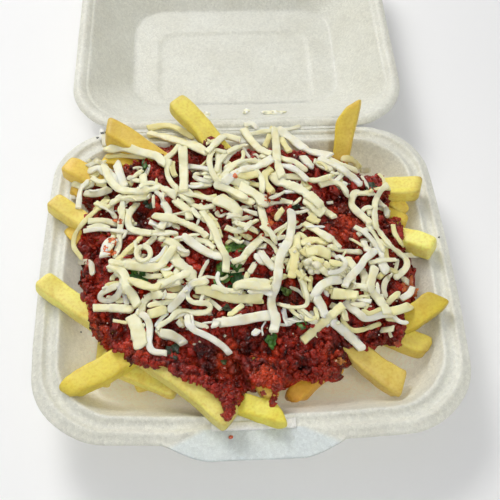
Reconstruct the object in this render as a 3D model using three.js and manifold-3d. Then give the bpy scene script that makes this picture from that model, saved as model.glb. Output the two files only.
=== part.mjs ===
// Loaded fries in a hinged foam meal box that lies open.
// Millimetres, +Z up. Origin: centre of the tray's flat underside. +X right, +Y towards the hinge and the open lid.
import * as THREE from 'three';
import { mergeVertices } from 'three/addons/utils/BufferGeometryUtils.js';
import Module from 'manifold-3d';

// ---- driving dimensions ----
const H = 38;            // height of the tray, and of the lid that lies beside it
const WALL = 2.6;        // foam wall
const GAP = 0.3;         // air between neighbouring solids
const TRAY_W = 240;      // outline across, before the sides bow out
const TRAY_FRONT = 106.85; // outline towards the front, before the bow
const HINGE_Y = 112.2;   // the fold line
const HALF_FOLD = 0.2;   // half of the slit along the fold
const TRAY_R = 38.9;     // corner radius of the tray's outline
const BOW = 4.4;         // how far the sides bow out in the middle
const LID_W = 231.6;
const LID_D = 213.7;
const LID_R = 42.9;
const TAB_X0 = -48, TAB_X1 = 46, TAB_Y = -121;   // the lifting tab at the front
const SLOT_X0 = -24, SLOT_X1 = 21, SLOT_Y0 = -104.2, SLOT_Y1 = -101;  // the notch behind the tab
const FLOOR_IN = 3.6;    // top of the tray's floor
const CX = -4, CY = -2;  // middle of the heap
const SECTORS = 40;
const RINGS = [0.16, 0.33, 0.5, 0.65, 0.78, 0.87, 0.94];
const BEEF_OUTLINE = [97.2, 2.0, 10.5, 6.0, -2.2, 2.7, 1.4, -2.3, 0.3, -0.5, -3.0]; // mean radius, then cos and sin of 1..5 turns
const BED_PEAK = 12, BED_EDGE = -4;    // top of the bed of fries above the rim, middle and edge
const BEEF_T0 = 9, BEEF_T1 = 6.5;      // thickness of the beef, middle and edge
const CHEESE_T = 4.6;

const wasm = await Module();
wasm.setup();

// ---- small helpers ----
const rad = (d) => d * Math.PI / 180;
const lerp = (a, b, t) => a + (b - a) * t;
const clamp = (v, a, b) => Math.min(b, Math.max(a, v));
function hash(i, j, s) {
  let h = (i * 374761393 + j * 668265263 + s * 982451653) | 0;
  h = Math.imul(h ^ (h >>> 13), 1274126177);
  return ((h ^ (h >>> 16)) >>> 0) / 4294967295;
}
function noise(x, y, s) {           // smooth value noise, -1..1
  const i = Math.floor(x), j = Math.floor(y), u = x - i, v = y - j;
  const a = u * u * (3 - 2 * u), b = v * v * (3 - 2 * v);
  return 2 * lerp(lerp(hash(i, j, s), hash(i + 1, j, s), a), lerp(hash(i, j + 1, s), hash(i + 1, j + 1, s), a), b) - 1;
}

function geometry(points, faces) {
  const g = new THREE.BufferGeometry();
  const pos = new Float32Array(faces.length * 9);
  faces.forEach((f, k) => f.forEach((v, c) => pos.set(points[v], k * 9 + c * 3)));
  g.setAttribute('position', new THREE.BufferAttribute(pos, 3));
  return mergeVertices(g, 1e-4);
}
function toManifold(g) {
  const p = g.getAttribute('position').array, ix = g.getIndex().array;
  return new wasm.Manifold(new wasm.Mesh({ numProp: 3, vertProperties: new Float32Array(p), triVerts: new Uint32Array(ix) }));
}
function fromManifold(m) {
  const mesh = m.getMesh(), g = new THREE.BufferGeometry();
  g.setAttribute('position', new THREE.BufferAttribute(new Float32Array(mesh.vertProperties), 3));
  g.setIndex(new THREE.BufferAttribute(new Uint32Array(mesh.triVerts), 1));
  return g;
}
function largest(m) {
  return m.decompose().reduce((a, b) => (a.volume() > b.volume() ? a : b));
}
// closed loft through rings of equal count, capped by fans at both ends; rings run from the underside, outwards, up and in
function loft(rings, top) {
  const n = rings[0].length, pts = [], faces = [];
  rings.forEach((r) => r.forEach((p) => pts.push(p)));
  for (let k = 0; k + 1 < rings.length; k++)
    for (let i = 0; i < n; i++) {
      const a = k * n + i, b = k * n + (i + 1) % n, c = a + n, d = b + n;
      faces.push([a, b, d], [a, d, c]);
    }
  const mid = (r) => r.reduce((s, p) => [s[0] + p[0] / n, s[1] + p[1] / n, s[2] + p[2] / n], [0, 0, 0]);
  const m0 = pts.push(mid(rings[0])) - 1, m1 = pts.push(top ?? mid(rings[rings.length - 1])) - 1, l = (rings.length - 1) * n;
  for (let i = 0; i < n; i++) {
    faces.push([m0, (i + 1) % n, i]);
    faces.push([m1, l + i, l + (i + 1) % n]);
  }
  return geometry(pts, faces);
}
// a rounded rectangle: half sizes x, front and back, corner radius, height, bow of each side
function roundRect(hx, hf, hb, r, z, bow, bowBack) {
  const ARC = 6, SIDE = 4, out = [];
  const corner = (cx, cy, a0) => { for (let i = 0; i <= ARC; i++) { const a = rad(a0 + 90 * i / ARC); out.push([cx + r * Math.cos(a), cy + r * Math.sin(a)]); } };
  const side = (x0, y0, x1, y1) => { for (let i = 1; i < SIDE; i++) out.push([lerp(x0, x1, i / SIDE), lerp(y0, y1, i / SIDE)]); };
  corner(hx - r, -hf + r, -90); side(hx, -hf + r, hx, hb - r);
  corner(hx - r, hb - r, 0); side(hx - r, hb, -hx + r, hb);
  corner(-hx + r, hb - r, 90); side(-hx, hb - r, -hx, -hf + r);
  corner(-hx + r, -hf + r, 180); side(-hx + r, -hf, hx - r, -hf);
  return out.map(([x, y]) => {
    const bx = bow * (1 - (y / (y < 0 ? hf : hb)) ** 2) * Math.sign(x) * clamp(Math.abs(x) / hx, 0, 1) ** 4;
    const by = y < 0 ? -bow * (1 - (x / hx) ** 2) * clamp(-y / hf, 0, 1) ** 4 : bowBack * (1 - (x / hx) ** 2) * clamp(y / hb, 0, 1) ** 4;
    return [x + bx, y + by, z];
  });
}

// ---- the tray ----
// each row: inset from the outline, height from the rim plane, share of the bow
const TRAY_OUT = [[44, -H, 0.2], [39, -H + 0.9, 0.25], [35.5, -H + 4, 0.3], [18.2, -7.2, 0.8], [14, -5, 0.9], [1.5, -5.2, 1], [0, -4.0, 1]];
const TRAY_IN = [[0.4, -1.8, 1], [3, -0.8, 1], [5.6, 0, 1], [8.2, -1.0, 1], [10.8, -1.3, 1], [13.4, -0.2, 0.9], [15.6, -1.8, 0.9], [20.5, -9, 0.75], [32, -29, 0.3], [36, -32.6, 0.25], [42, FLOOR_IN - H, 0.2]];
function trayRing([inset, z, share]) {
  const hb = HINGE_Y - HALF_FOLD - inset;
  const hx = TRAY_W / 2 - inset, hf = TRAY_FRONT - inset;
  return roundRect(hx, hf, hb, Math.max(20, TRAY_R - inset * 0.55), H + z, BOW * share, 0);
}
const trayShell = toManifold(loft([...TRAY_OUT, ...TRAY_IN].map(trayRing)));
function slab(pts, z0, z1) {
  const s = new THREE.Shape(pts.map(([x, y]) => new THREE.Vector2(x, y)));
  const g = new THREE.ExtrudeGeometry(s, { depth: z1 - z0, bevelEnabled: false });
  g.translate(0, 0, z0);
  g.deleteAttribute('normal'); g.deleteAttribute('uv');
  return toManifold(mergeVertices(g, 1e-4));
}
function tabOutline() {
  const pts = [[TAB_X1 + 6, -109.6]], N = 6;
  for (let i = 0; i <= N; i++) { const a = i / N; pts.push([lerp(TAB_X1 + 1, TAB_X1 - 13, a), lerp(-112, TAB_Y, Math.sin(a * Math.PI / 2))]); }
  for (let i = N; i >= 0; i--) { const a = i / N; pts.push([lerp(TAB_X0 - 1, TAB_X0 + 13, a), lerp(-112, TAB_Y, Math.sin(a * Math.PI / 2))]); }
  pts.push([TAB_X0 - 6, -109.6], [SLOT_X0 - 2, SLOT_Y0], [SLOT_X1 + 2, SLOT_Y0]);
  return pts.reverse();
}
const TAB_TOP = H - 1.4;
const tray = largest(trayShell
  .subtract(slab([[TAB_X0 - 2, -112], [TAB_X1 + 2, -112], [SLOT_X1 + 3, -100.4], [SLOT_X0 - 3, -100.4]], TAB_TOP - 0.2, H + 2))
  .add(slab(tabOutline(), TAB_TOP - WALL, TAB_TOP))
  .subtract(slab([[SLOT_X0, SLOT_Y0], [SLOT_X1, SLOT_Y0], [SLOT_X1, SLOT_Y1], [SLOT_X0, SLOT_Y1]], TAB_TOP - 2.0, H + 2)));

// ---- the lid, open flat beside the tray ----
// each row: half width, half depth, corner radius, height from the rim plane
const LID_OUT = [[57, 37.5, 14, -H], [59, 39.5, 16, -H + 1.5], [76, 50.5, 24, -H + 1.7], [81, 56, 27, -H + 3.4], [103, 92, 36, -9.5], [107.5, 98.5, 38, -4.2], [114.4, 105.4, 41.5, -3.9], [115.8, 106.85, LID_R, -3.2]];
const LID_IN = [[115.3, 106.4, 42.5, -1.6], [113, 104.1, 41, -0.3], [111, 102.1, 40, 0], [108.6, 99.8, 39, -0.9], [106.6, 97.8, 38, -2.4], [84, 62, 27, -28], [78, 55, 25, -33], [73, 49.5, 22, -34.8], [58, 38.5, 15, -34.9], [56, 36.5, 13, -36.1]];
const LID_CY = HINGE_Y + HALF_FOLD + LID_D / 2;
const EMBOSS_DY = -11;   // the panel's inner field lies towards the hinge
function lidRing([hx, hy, r, z], k, rows) {
  const field = hx < 60 ? EMBOSS_DY : 0;
  return roundRect(hx, hy, hy, r, H + z, 0, 0).map(([x, y, zz]) => [x, y + LID_CY + field, zz]);
}
const lid = toManifold(loft([...LID_OUT, ...LID_IN].map(lidRing)));

// ---- the heap's shared polar grid ----
function outline(th) {
  let r = BEEF_OUTLINE[0];
  for (let k = 1; k <= 5; k++) r += BEEF_OUTLINE[2 * k - 1] * Math.cos(k * th) + BEEF_OUTLINE[2 * k] * Math.sin(k * th);
  return r - 2.5 + 3 * noise(th * 3.2 + 9, 4.5, 3);
}
const theta = (j) => 2 * Math.PI * (j % SECTORS) / SECTORS;
const back = (th) => Math.max(0, Math.sin(th)) ** 2;    // 1 towards the hinge
function bedTop(f, th, x, y) {
  return H + lerp(BED_PEAK, BED_EDGE + 6 * back(th), f * f) + 1.3 * noise(x / 13, y / 13, 7);
}
function at(f, th) { const r = outline(th) * f; return [CX + r * Math.cos(th), CY + r * Math.sin(th)]; }
function lumps(x, y) { return 1.5 * noise(x / 9, y / 9, 21) + 0.9 * noise(x / 5, y / 5, 22); }
function beefTop(f, th, x, y) { return bedTop(f, th, x, y) + lerp(BEEF_T0, BEEF_T1, f) + lumps(x, y); }

// how far a point lies inside the tray's inner wall at a height from the rim plane
function roomInside(x, y, z) {
  const P = TRAY_IN.filter((r) => r[0] > 15);
  let i = 0;
  while (i < P.length - 2 && z < P[i + 1][1]) i++;
  const inset = lerp(P[i][0], P[i + 1][0], clamp((z - P[i][1]) / (P[i + 1][1] - P[i][1]), 0, 1));
  const r = Math.max(20, TRAY_R - inset * 0.55);
  const qx = Math.abs(x) - (TRAY_W / 2 - inset) + r, qy = Math.abs(y) - (y < 0 ? TRAY_FRONT - inset : HINGE_Y - HALF_FOLD - inset) + r;
  return r - Math.hypot(Math.max(qx, 0), Math.max(qy, 0)) - Math.min(Math.max(qx, qy), 0);
}
function wallReach(th, z) {           // distance from the middle of the heap to just short of the wall
  let lo = 30, hi = 160;
  for (let k = 0; k < 30; k++) { const m = (lo + hi) / 2; if (roomInside(CX + m * Math.cos(th), CY + m * Math.sin(th), z) > BED_WALL) lo = m; else hi = m; }
  return lo;
}
// the bed: a dome of fries that widens below to the tray's walls, down to its floor
const BED_WALL = 1.2;
const SKIRT = [[0.90, -12, 0.90], [0.86, -19, 0.84]];
const PACKED = [-23.5, -30.5, -H + FLOOR_IN + 0.4];   // heights where the fries are packed against the walls
function bed() {
  const rows = PACKED.slice().reverse().map((z) => Array.from({ length: SECTORS }, (_, j) => {
    const th = theta(j), r = wallReach(th, z);
    return [CX + r * Math.cos(th), CY + r * Math.sin(th), H + z];
  }));
  rows.push(...SKIRT.slice().reverse().map(([f, z, fb]) => Array.from({ length: SECTORS }, (_, j) => {
    const th = theta(j), k = lerp(f, fb, back(th)), [x, y] = at(k, th);
    return [x, y, H + z];
  })));
  for (let i = RINGS.length - 1; i >= 0; i--)
    rows.push(Array.from({ length: SECTORS }, (_, j) => { const th = theta(j), [x, y] = at(RINGS[i], th); return [x, y, bedTop(RINGS[i], th, x, y)]; }));
  return toManifold(loft(rows, [CX, CY, bedTop(0, 0, CX, CY)]));
}

// a closed layer over the grid: ring limit per sector, underside and top as functions
function layer(limit, under, over, rim) {
  const lim = Array.from({ length: SECTORS }, (_, j) => limit(theta(j)));
  const pts = [], faces = [], id = new Map();
  const F = [0, ...RINGS];
  const put = (kind, i, j) => {
    j %= SECTORS; if (i === 0) j = 0;
    const key = `${kind},${i},${j}`;
    if (!id.has(key)) {
      const th = theta(j), [x, y] = at(F[i], th);
      id.set(key, pts.push([x, y, (kind ? over : under)(F[i], th, x, y)]) - 1);
    }
    return id.get(key);
  };
  // a cell is used when it lies inside both of its sectors' limits
  const cell = (i, j) => i < Math.min(lim[j], lim[(j + 1) % SECTORS]);
  for (let j = 0; j < SECTORS; j++)
    for (let i = 0; i < RINGS.length; i++) {
      if (!cell(i, j)) continue;
      for (const kind of [0, 1]) {
        const a = put(kind, i, j), b = put(kind, i, j + 1), c = put(kind, i + 1, j), d = put(kind, i + 1, j + 1);
        const tri = i === 0 ? [[c, d, a]] : [[c, d, b], [c, b, a]];
        tri.forEach((t) => faces.push(kind ? t : [t[0], t[2], t[1]]));
      }
      if (!cell(i + 1, j) || i + 1 === RINGS.length) {   // outer side
        const c0 = put(0, i + 1, j), d0 = put(0, i + 1, j + 1), c1 = put(1, i + 1, j), d1 = put(1, i + 1, j + 1);
        if (i + 1 === RINGS.length && rim) {
          const e = [j, j + 1].map((q) => {
            const key = `r,${q % SECTORS}`;
            if (!id.has(key)) { const th = theta(q), [x, y] = at(1, th); id.set(key, pts.push([x, y, rim(th, x, y)]) - 1); }
            return id.get(key);
          });
          faces.push([c0, d0, e[1]], [c0, e[1], e[0]], [e[0], e[1], d1], [e[0], d1, c1]);
        } else faces.push([c0, d0, d1], [c0, d1, c1]);
      }
      const jp = (j + 1) % SECTORS, jm = (j + SECTORS - 1) % SECTORS;
      if (!cell(i, jp)) { const a0 = put(0, i, j + 1), c0 = put(0, i + 1, j + 1), a1 = put(1, i, j + 1), c1 = put(1, i + 1, j + 1); faces.push([c0, a0, a1], [c0, a1, c1]); }
      if (!cell(i, jm)) { const a0 = put(0, i, j), c0 = put(0, i + 1, j), a1 = put(1, i, j), c1 = put(1, i + 1, j); faces.push([a0, c0, c1], [a0, c1, a1]); }
    }
  return toManifold(geometry(pts, faces));
}

// ---- fries that stick out of the bed ----
// start and end of the axis, with z from the rim plane, then width, height, and how blunt the far end is
const FRIES = [
  [-70, -48, -5, -120, -12, 7.0, 12.5, 11, 0.8],
  [-52, -52, 4, -102, -81, -0.5, 13, 11, 0.45],
  [-84, -32, -14, -85, -68, -19, 10, 10, 0.9],
  [-72, -46, -18, -45, -77, -18, 10, 10, 0.3],
  [-62, -60, 6, -17.5, -97, 3.8, 14, 12, 0.8],
  [-12, -70, -8, 14, -97, 0.5, 11, 10, 0.45],
  [-4, -66, 0, 10, -88, 3, 11, 10, 0.8],
  [44, -62, -12, 19, -85, -9, 11, 10, 0.6],
  [50, -50, -2, 83.5, -79.5, -11, 13.5, 12, 0.5],
  [52, -34, -18, 58, -58, -20, 9, 9, 0.7],
  [66, -44, -3, 101.5, -58, -8, 12, 11, 0.55],
  [80, -48, 0, 112.5, -29, 4.5, 12.5, 11, 0.75],
  [84, 20, 0, 112.5, 4, 5.5, 12.5, 11, 0.85],
  [74, 54, 4, 111.5, 53, 6.5, 12, 11, 0.5],
  [82, 44, -6, 101.5, 31, -3, 9, 9, 0.7],
  [60, 64, -22, 73.5, 110, 24, 12, 11, 0.25],
  [2, 58, 4, -43, 116, 20, 13, 12, 0.9],
  [-34, 66, 4, -87.5, 100, 13, 13.5, 12, 0.9],
  [-72, 54, 2, -112.5, 73, 7, 12, 11, 0.85],
  [-78, 46, -8, -110, 60, -0.5, 9, 9, 0.8],
  [-72, 14, 0, -119, 45, 7, 12, 11, 0.85],
  [-80, -4, -6, -110, 30, -1.5, 10, 10, 0.8],
];
function fry([x0, y0, z0, x1, y1, z1, w, h, tip], grow = 0) {
  const a = new THREE.Vector3(x0, y0, z0 + H), b = new THREE.Vector3(x1, y1, z1 + H);
  const d = b.clone().sub(a).normalize(), s = new THREE.Vector3(-d.y, d.x, 0).normalize(), u = new THREE.Vector3().crossVectors(d, s);
  const len = a.distanceTo(b), rows = [];
  const P = [[0, 0.9], [Math.max(0.6, 1 - w * 0.55 / len), 0.98], [1 - w * 0.12 / len, lerp(0.45, 0.92, tip)], [1, lerp(0.14, 0.7, tip)]];
  for (const [t, k] of P) {
    const c = a.clone().addScaledVector(d, t * len + (t === 1 ? grow : t === 0 ? -grow : 0));
    const hw = w / 2 * k + grow, hh = h / 2 * k + grow, ch = 0.38;
    rows.push([[hw, -hh * ch], [hw, hh * ch], [hw * ch, hh], [-hw * ch, hh], [-hw, hh * ch], [-hw, -hh * ch], [-hw * ch, -hh], [hw * ch, -hh]]
      .map(([p, q]) => { const v = c.clone().addScaledVector(s, p).addScaledVector(u, q); return [v.x, v.y, v.z]; }));
  }
  return toManifold(loft(rows));
}
const union = (list) => list.reduce((a, b) => a.add(b));
const shift = (m, x, y, z) => m.translate([x, y, z]);

const foamUp = shift(tray, 0, 0, 0.55).add(shift(lid, 0, 0, 0.55)).add(tray).add(lid);
const beefSolid = layer(() => RINGS.length,
  (f, th, x, y) => bedTop(f, th, x, y) + GAP,
  beefTop,
  (th, x, y) => H + lerp(-5.5, 2.5, back(th)) + 1.5 * noise(x / 7, y / 7, 31));
const sticks = union(FRIES.map((f) => fry(f)));
const sticksWide = union(FRIES.map((f) => fry(f, GAP)));
const friesSolid = largest(bed().add(sticks).subtract(foamUp));
const beef = largest(beefSolid.subtract(sticksWide).subtract(foamUp));
// the cheese reaches further at the back and the sides than at the front, with an uneven edge
function cheeseEdge() {
  const N = 56, pts = [];
  for (let i = 0; i < N; i++) {
    const th = 2 * Math.PI * i / N;
    const f = clamp(0.8 + 0.1 * Math.sin(th) + 0.03 * Math.cos(2 * th) + 0.07 * noise(th * 4.1 + 3, 8.5, 41) + 0.045 * noise(th * 11 + 3, 2.5, 42), 0.5, 0.925);
    pts.push(at(f, th));
  }
  return pts;
}
const cheeseSolid = layer(() => RINGS.length,
  (f, th, x, y) => beefTop(f, th, x, y) + GAP,
  (f, th, x, y) => beefTop(f, th, x, y) + GAP + CHEESE_T * (1 - 0.45 * f) + 1.1 * noise(x / 8, y / 8, 51));
const cheese = largest(cheeseSolid.intersect(slab(cheeseEdge(), 0, 3 * H)).subtract(sticksWide));

// ---- the scene graph ----
const looks = {
  foam: new THREE.MeshStandardMaterial({ color: 0xe6e3d8, roughness: 0.7, metalness: 0 }),
  fries: new THREE.MeshStandardMaterial({ color: 0xdcc24e, roughness: 0.55, metalness: 0 }),
  beef: new THREE.MeshStandardMaterial({ color: 0x6b1a1c, roughness: 0.35, metalness: 0 }),
  cheese: new THREE.MeshStandardMaterial({ color: 0xece8cf, roughness: 0.5, metalness: 0 }),
};
const group = new THREE.Group();
for (const [name, solid, look] of [['tray', tray, looks.foam], ['lid', lid, looks.foam], ['fries', friesSolid, looks.fries], ['chili_beef', beef, looks.beef], ['cheese', cheese, looks.cheese]]) {
  const mesh = new THREE.Mesh(fromManifold(solid), look);
  mesh.name = name;
  group.add(mesh);
}
export default group;
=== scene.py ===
"""Looks of the loaded fries in their open foam box: foam, fries, chili, grated cheese, herbs and drips."""

import math

import bpy
import numpy as np
from mathutils import Matrix, Vector
from mathutils.bvhtree import BVHTree


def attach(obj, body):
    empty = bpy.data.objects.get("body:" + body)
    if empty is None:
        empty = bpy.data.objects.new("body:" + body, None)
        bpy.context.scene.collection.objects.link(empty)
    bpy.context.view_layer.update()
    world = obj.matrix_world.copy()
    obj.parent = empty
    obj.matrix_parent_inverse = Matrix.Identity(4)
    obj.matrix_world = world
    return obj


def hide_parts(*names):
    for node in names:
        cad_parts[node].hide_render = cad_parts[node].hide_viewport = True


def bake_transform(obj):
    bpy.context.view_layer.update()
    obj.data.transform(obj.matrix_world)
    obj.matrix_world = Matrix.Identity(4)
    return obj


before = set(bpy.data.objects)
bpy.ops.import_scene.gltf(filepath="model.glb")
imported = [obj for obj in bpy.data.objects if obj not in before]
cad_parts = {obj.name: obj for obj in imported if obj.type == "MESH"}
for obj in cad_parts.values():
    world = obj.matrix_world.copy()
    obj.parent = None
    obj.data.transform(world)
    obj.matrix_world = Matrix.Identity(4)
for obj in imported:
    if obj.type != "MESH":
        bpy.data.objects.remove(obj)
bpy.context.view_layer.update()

MM = 0.001
H = 38.0
HINGE_Y, HALF_FOLD = 112.2, 0.2
TRAY_W, TRAY_FRONT, TRAY_R, BOW = 240.0, 106.85, 38.9, 4.4
TAB_X0, TAB_X1, TAB_Y = -48.0, 46.0, -121.0
SLOT_X0, SLOT_X1, SLOT_Y0, SLOT_Y1 = -24.0, 21.0, -104.2, -101.0
FLOOR_IN = 3.6
CX, CY = -4.0, -2.0
LID_CY = HINGE_Y + HALF_FOLD + 213.7 / 2
rng = np.random.default_rng(11)


# ------------------------------------------------------------------ numbers
def h32(i, j, s):
    h = (i * 374761393 + j * 668265263 + s * 982451653) & 0xFFFFFFFF
    h = ((h ^ (h >> 13)) * 1274126177) & 0xFFFFFFFF
    return (h ^ (h >> 16)) / 4294967295.0


def noise2(x, y, s):
    x, y = np.asarray(x, float), np.asarray(y, float)
    i, j = np.floor(x).astype(np.int64), np.floor(y).astype(np.int64)
    u, v = x - i, y - j
    a, b = u * u * (3 - 2 * u), v * v * (3 - 2 * v)
    n0 = h32(i, j, s) * (1 - a) + h32(i + 1, j, s) * a
    n1 = h32(i, j + 1, s) * (1 - a) + h32(i + 1, j + 1, s) * a
    return 2 * (n0 * (1 - b) + n1 * b) - 1


def noise3(x, y, z, s):
    z = np.asarray(z, float)
    k = np.floor(z).astype(np.int64)
    w = z - k
    c = w * w * (3 - 2 * w)
    return noise2(x, y, s + 7919 * k) * (1 - c) + noise2(x, y, s + 7919 * (k + 1)) * c


def lerp(a, b, t):
    return a + (b - a) * t


def smooth(t):
    t = np.clip(t, 0, 1)
    return t * t * (3 - 2 * t)


def lin(rgb):
    c = np.asarray(rgb, float) / 255.0
    return np.where(c <= 0.04045, c / 12.92, ((c + 0.055) / 1.055) ** 2.4)


def chaikin(rows, times=2):
    r = np.array(rows, float)
    for _ in range(times):
        a, b = r[:-1], r[1:]
        q = np.empty((2 * len(a), r.shape[1]))
        q[0::2], q[1::2] = a * 0.75 + b * 0.25, a * 0.25 + b * 0.75
        r = np.vstack([r[:1], q, r[-1:]])
    return r


# ------------------------------------------------------------------ meshes
def make(name, pts, faces, mat, attrs=None, sharp=None, smooth_faces=True):
    me = bpy.data.meshes.new(name)
    me.from_pydata((np.asarray(pts, float) * MM).tolist(), [], [list(map(int, f)) for f in faces])
    for key, val in (attrs or {}).items():
        val = np.asarray(val, float)
        if val.ndim == 1:
            at = me.attributes.new(key, "FLOAT", "POINT")
            at.data.foreach_set("value", val.astype(np.float32))
        else:
            at = me.attributes.new(key, "FLOAT_COLOR", "POINT")
            rgba = np.ones((len(val), 4), np.float32)
            rgba[:, :3] = val
            at.data.foreach_set("color", rgba.ravel())
    if smooth_faces:
        me.polygons.foreach_set("use_smooth", [True] * len(me.polygons))
    if sharp:
        me.set_sharp_from_angle(angle=math.radians(sharp))
    me.materials.append(mat)
    me.update()
    ob = bpy.data.objects.new(name, me)
    bpy.context.scene.collection.objects.link(ob)
    return ob


def loft_faces(k, n, cap0=None, cap1=None):
    """Quads of k rings of n points, and fans to the points numbered cap0 and cap1."""
    f = []
    i = np.arange(n)
    j = (i + 1) % n
    for r in range(k - 1):
        a, b = r * n + i, r * n + j
        f.append(np.stack([a, b, b + n, a + n], 1))
    out = np.vstack(f).tolist()
    if cap0 is not None:
        out += np.stack([np.full(n, cap0), j, i], 1).tolist()
    if cap1 is not None:
        l = (k - 1) * n
        out += np.stack([np.full(n, cap1), l + i, l + j], 1).tolist()
    return out


class Bag:
    """Gathers many small closed pieces into one mesh."""

    def __init__(self):
        self.p, self.f, self.c, self.n = [], [], [], 0

    def add(self, pts, faces, col):
        self.p.append(np.asarray(pts, float))
        self.f += [[v + self.n for v in f] for f in faces]
        self.c.append(np.broadcast_to(np.asarray(col, float), (len(pts), 3)))
        self.n += len(pts)

    def make(self, name, mat, inside=True):
        p = np.vstack(self.p)
        return make(name, keep_in(p) if inside else p, self.f, mat, {"look": np.vstack(self.c)})


# ------------------------------------------------------------------ camera
CAM = np.array([-20.308, -271.247, 448.706])
FWD = np.array([0.04431803, 0.56472176, -0.82409056])
RIGHT = np.array([0.99865185, -0.04735836, 0.0212525])
UP = np.array([0.02702583, 0.82392143, 0.56605926])
FOCAL = 820.6


def ray(u, v):
    u, v = np.asarray(u, float), np.asarray(v, float)
    return FWD + RIGHT * ((u - 250) / FOCAL)[..., None] - UP * ((v - 250) / FOCAL)[..., None]


def on_plane(u, v, z):
    """The point of the sight line through (u, v) at height z above the rim plane."""
    d = ray(u, v)
    t = (np.asarray(z, float) + H - CAM[2]) / d[..., 2]
    return CAM + d * t[..., None]


# ------------------------------------------------------------------ materials
def material(name):
    m = bpy.data.materials.new(name)
    m.use_nodes = True
    nt = m.node_tree
    bsdf = nt.nodes["Principled BSDF"]
    return m, nt, bsdf


def node(nt, kind, **sets):
    n = nt.nodes.new(kind)
    for k, v in sets.items():
        if k.startswith("_"):
            setattr(n, k[1:], v)
        else:
            n.inputs[k.replace("__", " ")].default_value = v
    return n


def object_coords(nt):
    return nt.nodes.new("ShaderNodeTexCoord").outputs["Object"]


def bump(nt, height, strength, distance, normal=None):
    b = node(nt, "ShaderNodeBump", Strength=strength, Distance=distance)
    nt.links.new(height, b.inputs["Height"])
    if normal is not None:
        nt.links.new(normal, b.inputs["Normal"])
    return b.outputs["Normal"]


def noise_tex(nt, co, scale, detail=2.0, rough=0.5):
    n = node(nt, "ShaderNodeTexNoise", Scale=scale, Detail=detail, Roughness=rough)
    nt.links.new(co, n.inputs["Vector"])
    return n.outputs["Fac"]


def voronoi(nt, co, scale, feature="F1", out="Distance"):
    n = node(nt, "ShaderNodeTexVoronoi", _feature=feature, Scale=scale)
    nt.links.new(co, n.inputs["Vector"])
    return n.outputs[out]


def ramp(nt, fac, stops):
    r = nt.nodes.new("ShaderNodeValToRGB")
    e = r.color_ramp.elements
    while len(e) > 1:
        e.remove(e[-1])
    for k, (pos, col) in enumerate(stops):
        x = e[0] if k == 0 else e.new(pos)
        x.position = pos
        x.color = (*col, 1) if np.ndim(col) else (col, col, col, 1)
    nt.links.new(fac, r.inputs["Fac"])
    return r.outputs["Color"]


def mix(nt, fac, a, b, mode="MIX"):
    m = nt.nodes.new("ShaderNodeMix")
    m.data_type, m.blend_type = "RGBA", mode
    for sock, val in ((m.inputs[0], fac), (m.inputs[6], a), (m.inputs[7], b)):
        if isinstance(val, (int, float)):
            sock.default_value = val
        elif isinstance(val, (tuple, list, np.ndarray)):
            sock.default_value = (*[float(q) for q in val], 1)
        else:
            nt.links.new(val, sock)
    return m.outputs[2]


def attribute(nt, name, out="Color"):
    a = nt.nodes.new("ShaderNodeAttribute")
    a.attribute_name = name
    return a.outputs[out]


def foam_material():
    m, nt, b = material("foam")
    co = object_coords(nt)
    cool = attribute(nt, "cool", "Fac")
    cloud = noise_tex(nt, co, 26, 3, 0.55)
    base = ramp(nt, cloud, [(0.30, lin((222, 221, 208))), (0.70, lin((233, 233, 222)))])
    warm = attribute(nt, "warm", "Fac")
    # painted light: deep in the tray's hollow (warm near 1) the foam is painted paler and warmer
    base = mix(nt, warm, base, lin((250, 244, 222)))
    base = mix(nt, cool, base, lin((218, 225, 224)))
    # painted light: the bright attribute paints foam paler, on the tab's ledge, which faces the lamp, and at half
    # strength on the hinge lug
    base = mix(nt, attribute(nt, "bright", "Fac"), base, lin((250, 250, 246)))
    cells = voronoi(nt, co, 640, "F1", "Color")
    grain = ramp(nt, cells, [(0.0, 0.84), (0.55, 0.99), (1.0, 1.12)])
    base = mix(nt, 0.6, base, grain, "MULTIPLY")
    fine = noise_tex(nt, co, 1500, 2, 0.6)
    speck = ramp(nt, fine, [(0.35, 0.88), (0.60, 1.0), (0.74, 1.2)])
    base = mix(nt, 0.6, base, speck, "MULTIPLY")
    nt.links.new(base, b.inputs["Base Color"])
    nt.links.new(ramp(nt, fine, [(0.30, 0.50), (0.66, 0.38), (0.80, 0.20)]), b.inputs["Roughness"])
    b.inputs["Specular IOR Level"].default_value = 0.52
    # the thin walls of the hollow let light through
    nt.links.new(ramp(nt, warm, [(0.0, 0.40), (1.0, 0.95)]), b.inputs["Subsurface Weight"])
    nt.links.new(ramp(nt, warm, [(0.0, 0.003), (1.0, 0.010)]), b.inputs["Subsurface Scale"])
    b.inputs["Subsurface Radius"].default_value = (1.0, 0.94, 0.84)
    # painted light: the hollow glows faintly, standing in for daylight that comes through its walls from outside
    b.inputs["Emission Color"].default_value = (1.0, 0.90, 0.66, 1)
    nt.links.new(ramp(nt, warm, [(0.0, 0.0), (1.0, 0.125)]), b.inputs["Emission Strength"])
    n1 = bump(nt, cloud, 0.35, 0.0016)
    n2 = bump(nt, voronoi(nt, co, 640), 0.45, 0.00040, n1)
    n3 = bump(nt, fine, 0.35, 0.00025, n2)
    nt.links.new(n3, b.inputs["Normal"])
    return m


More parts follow.
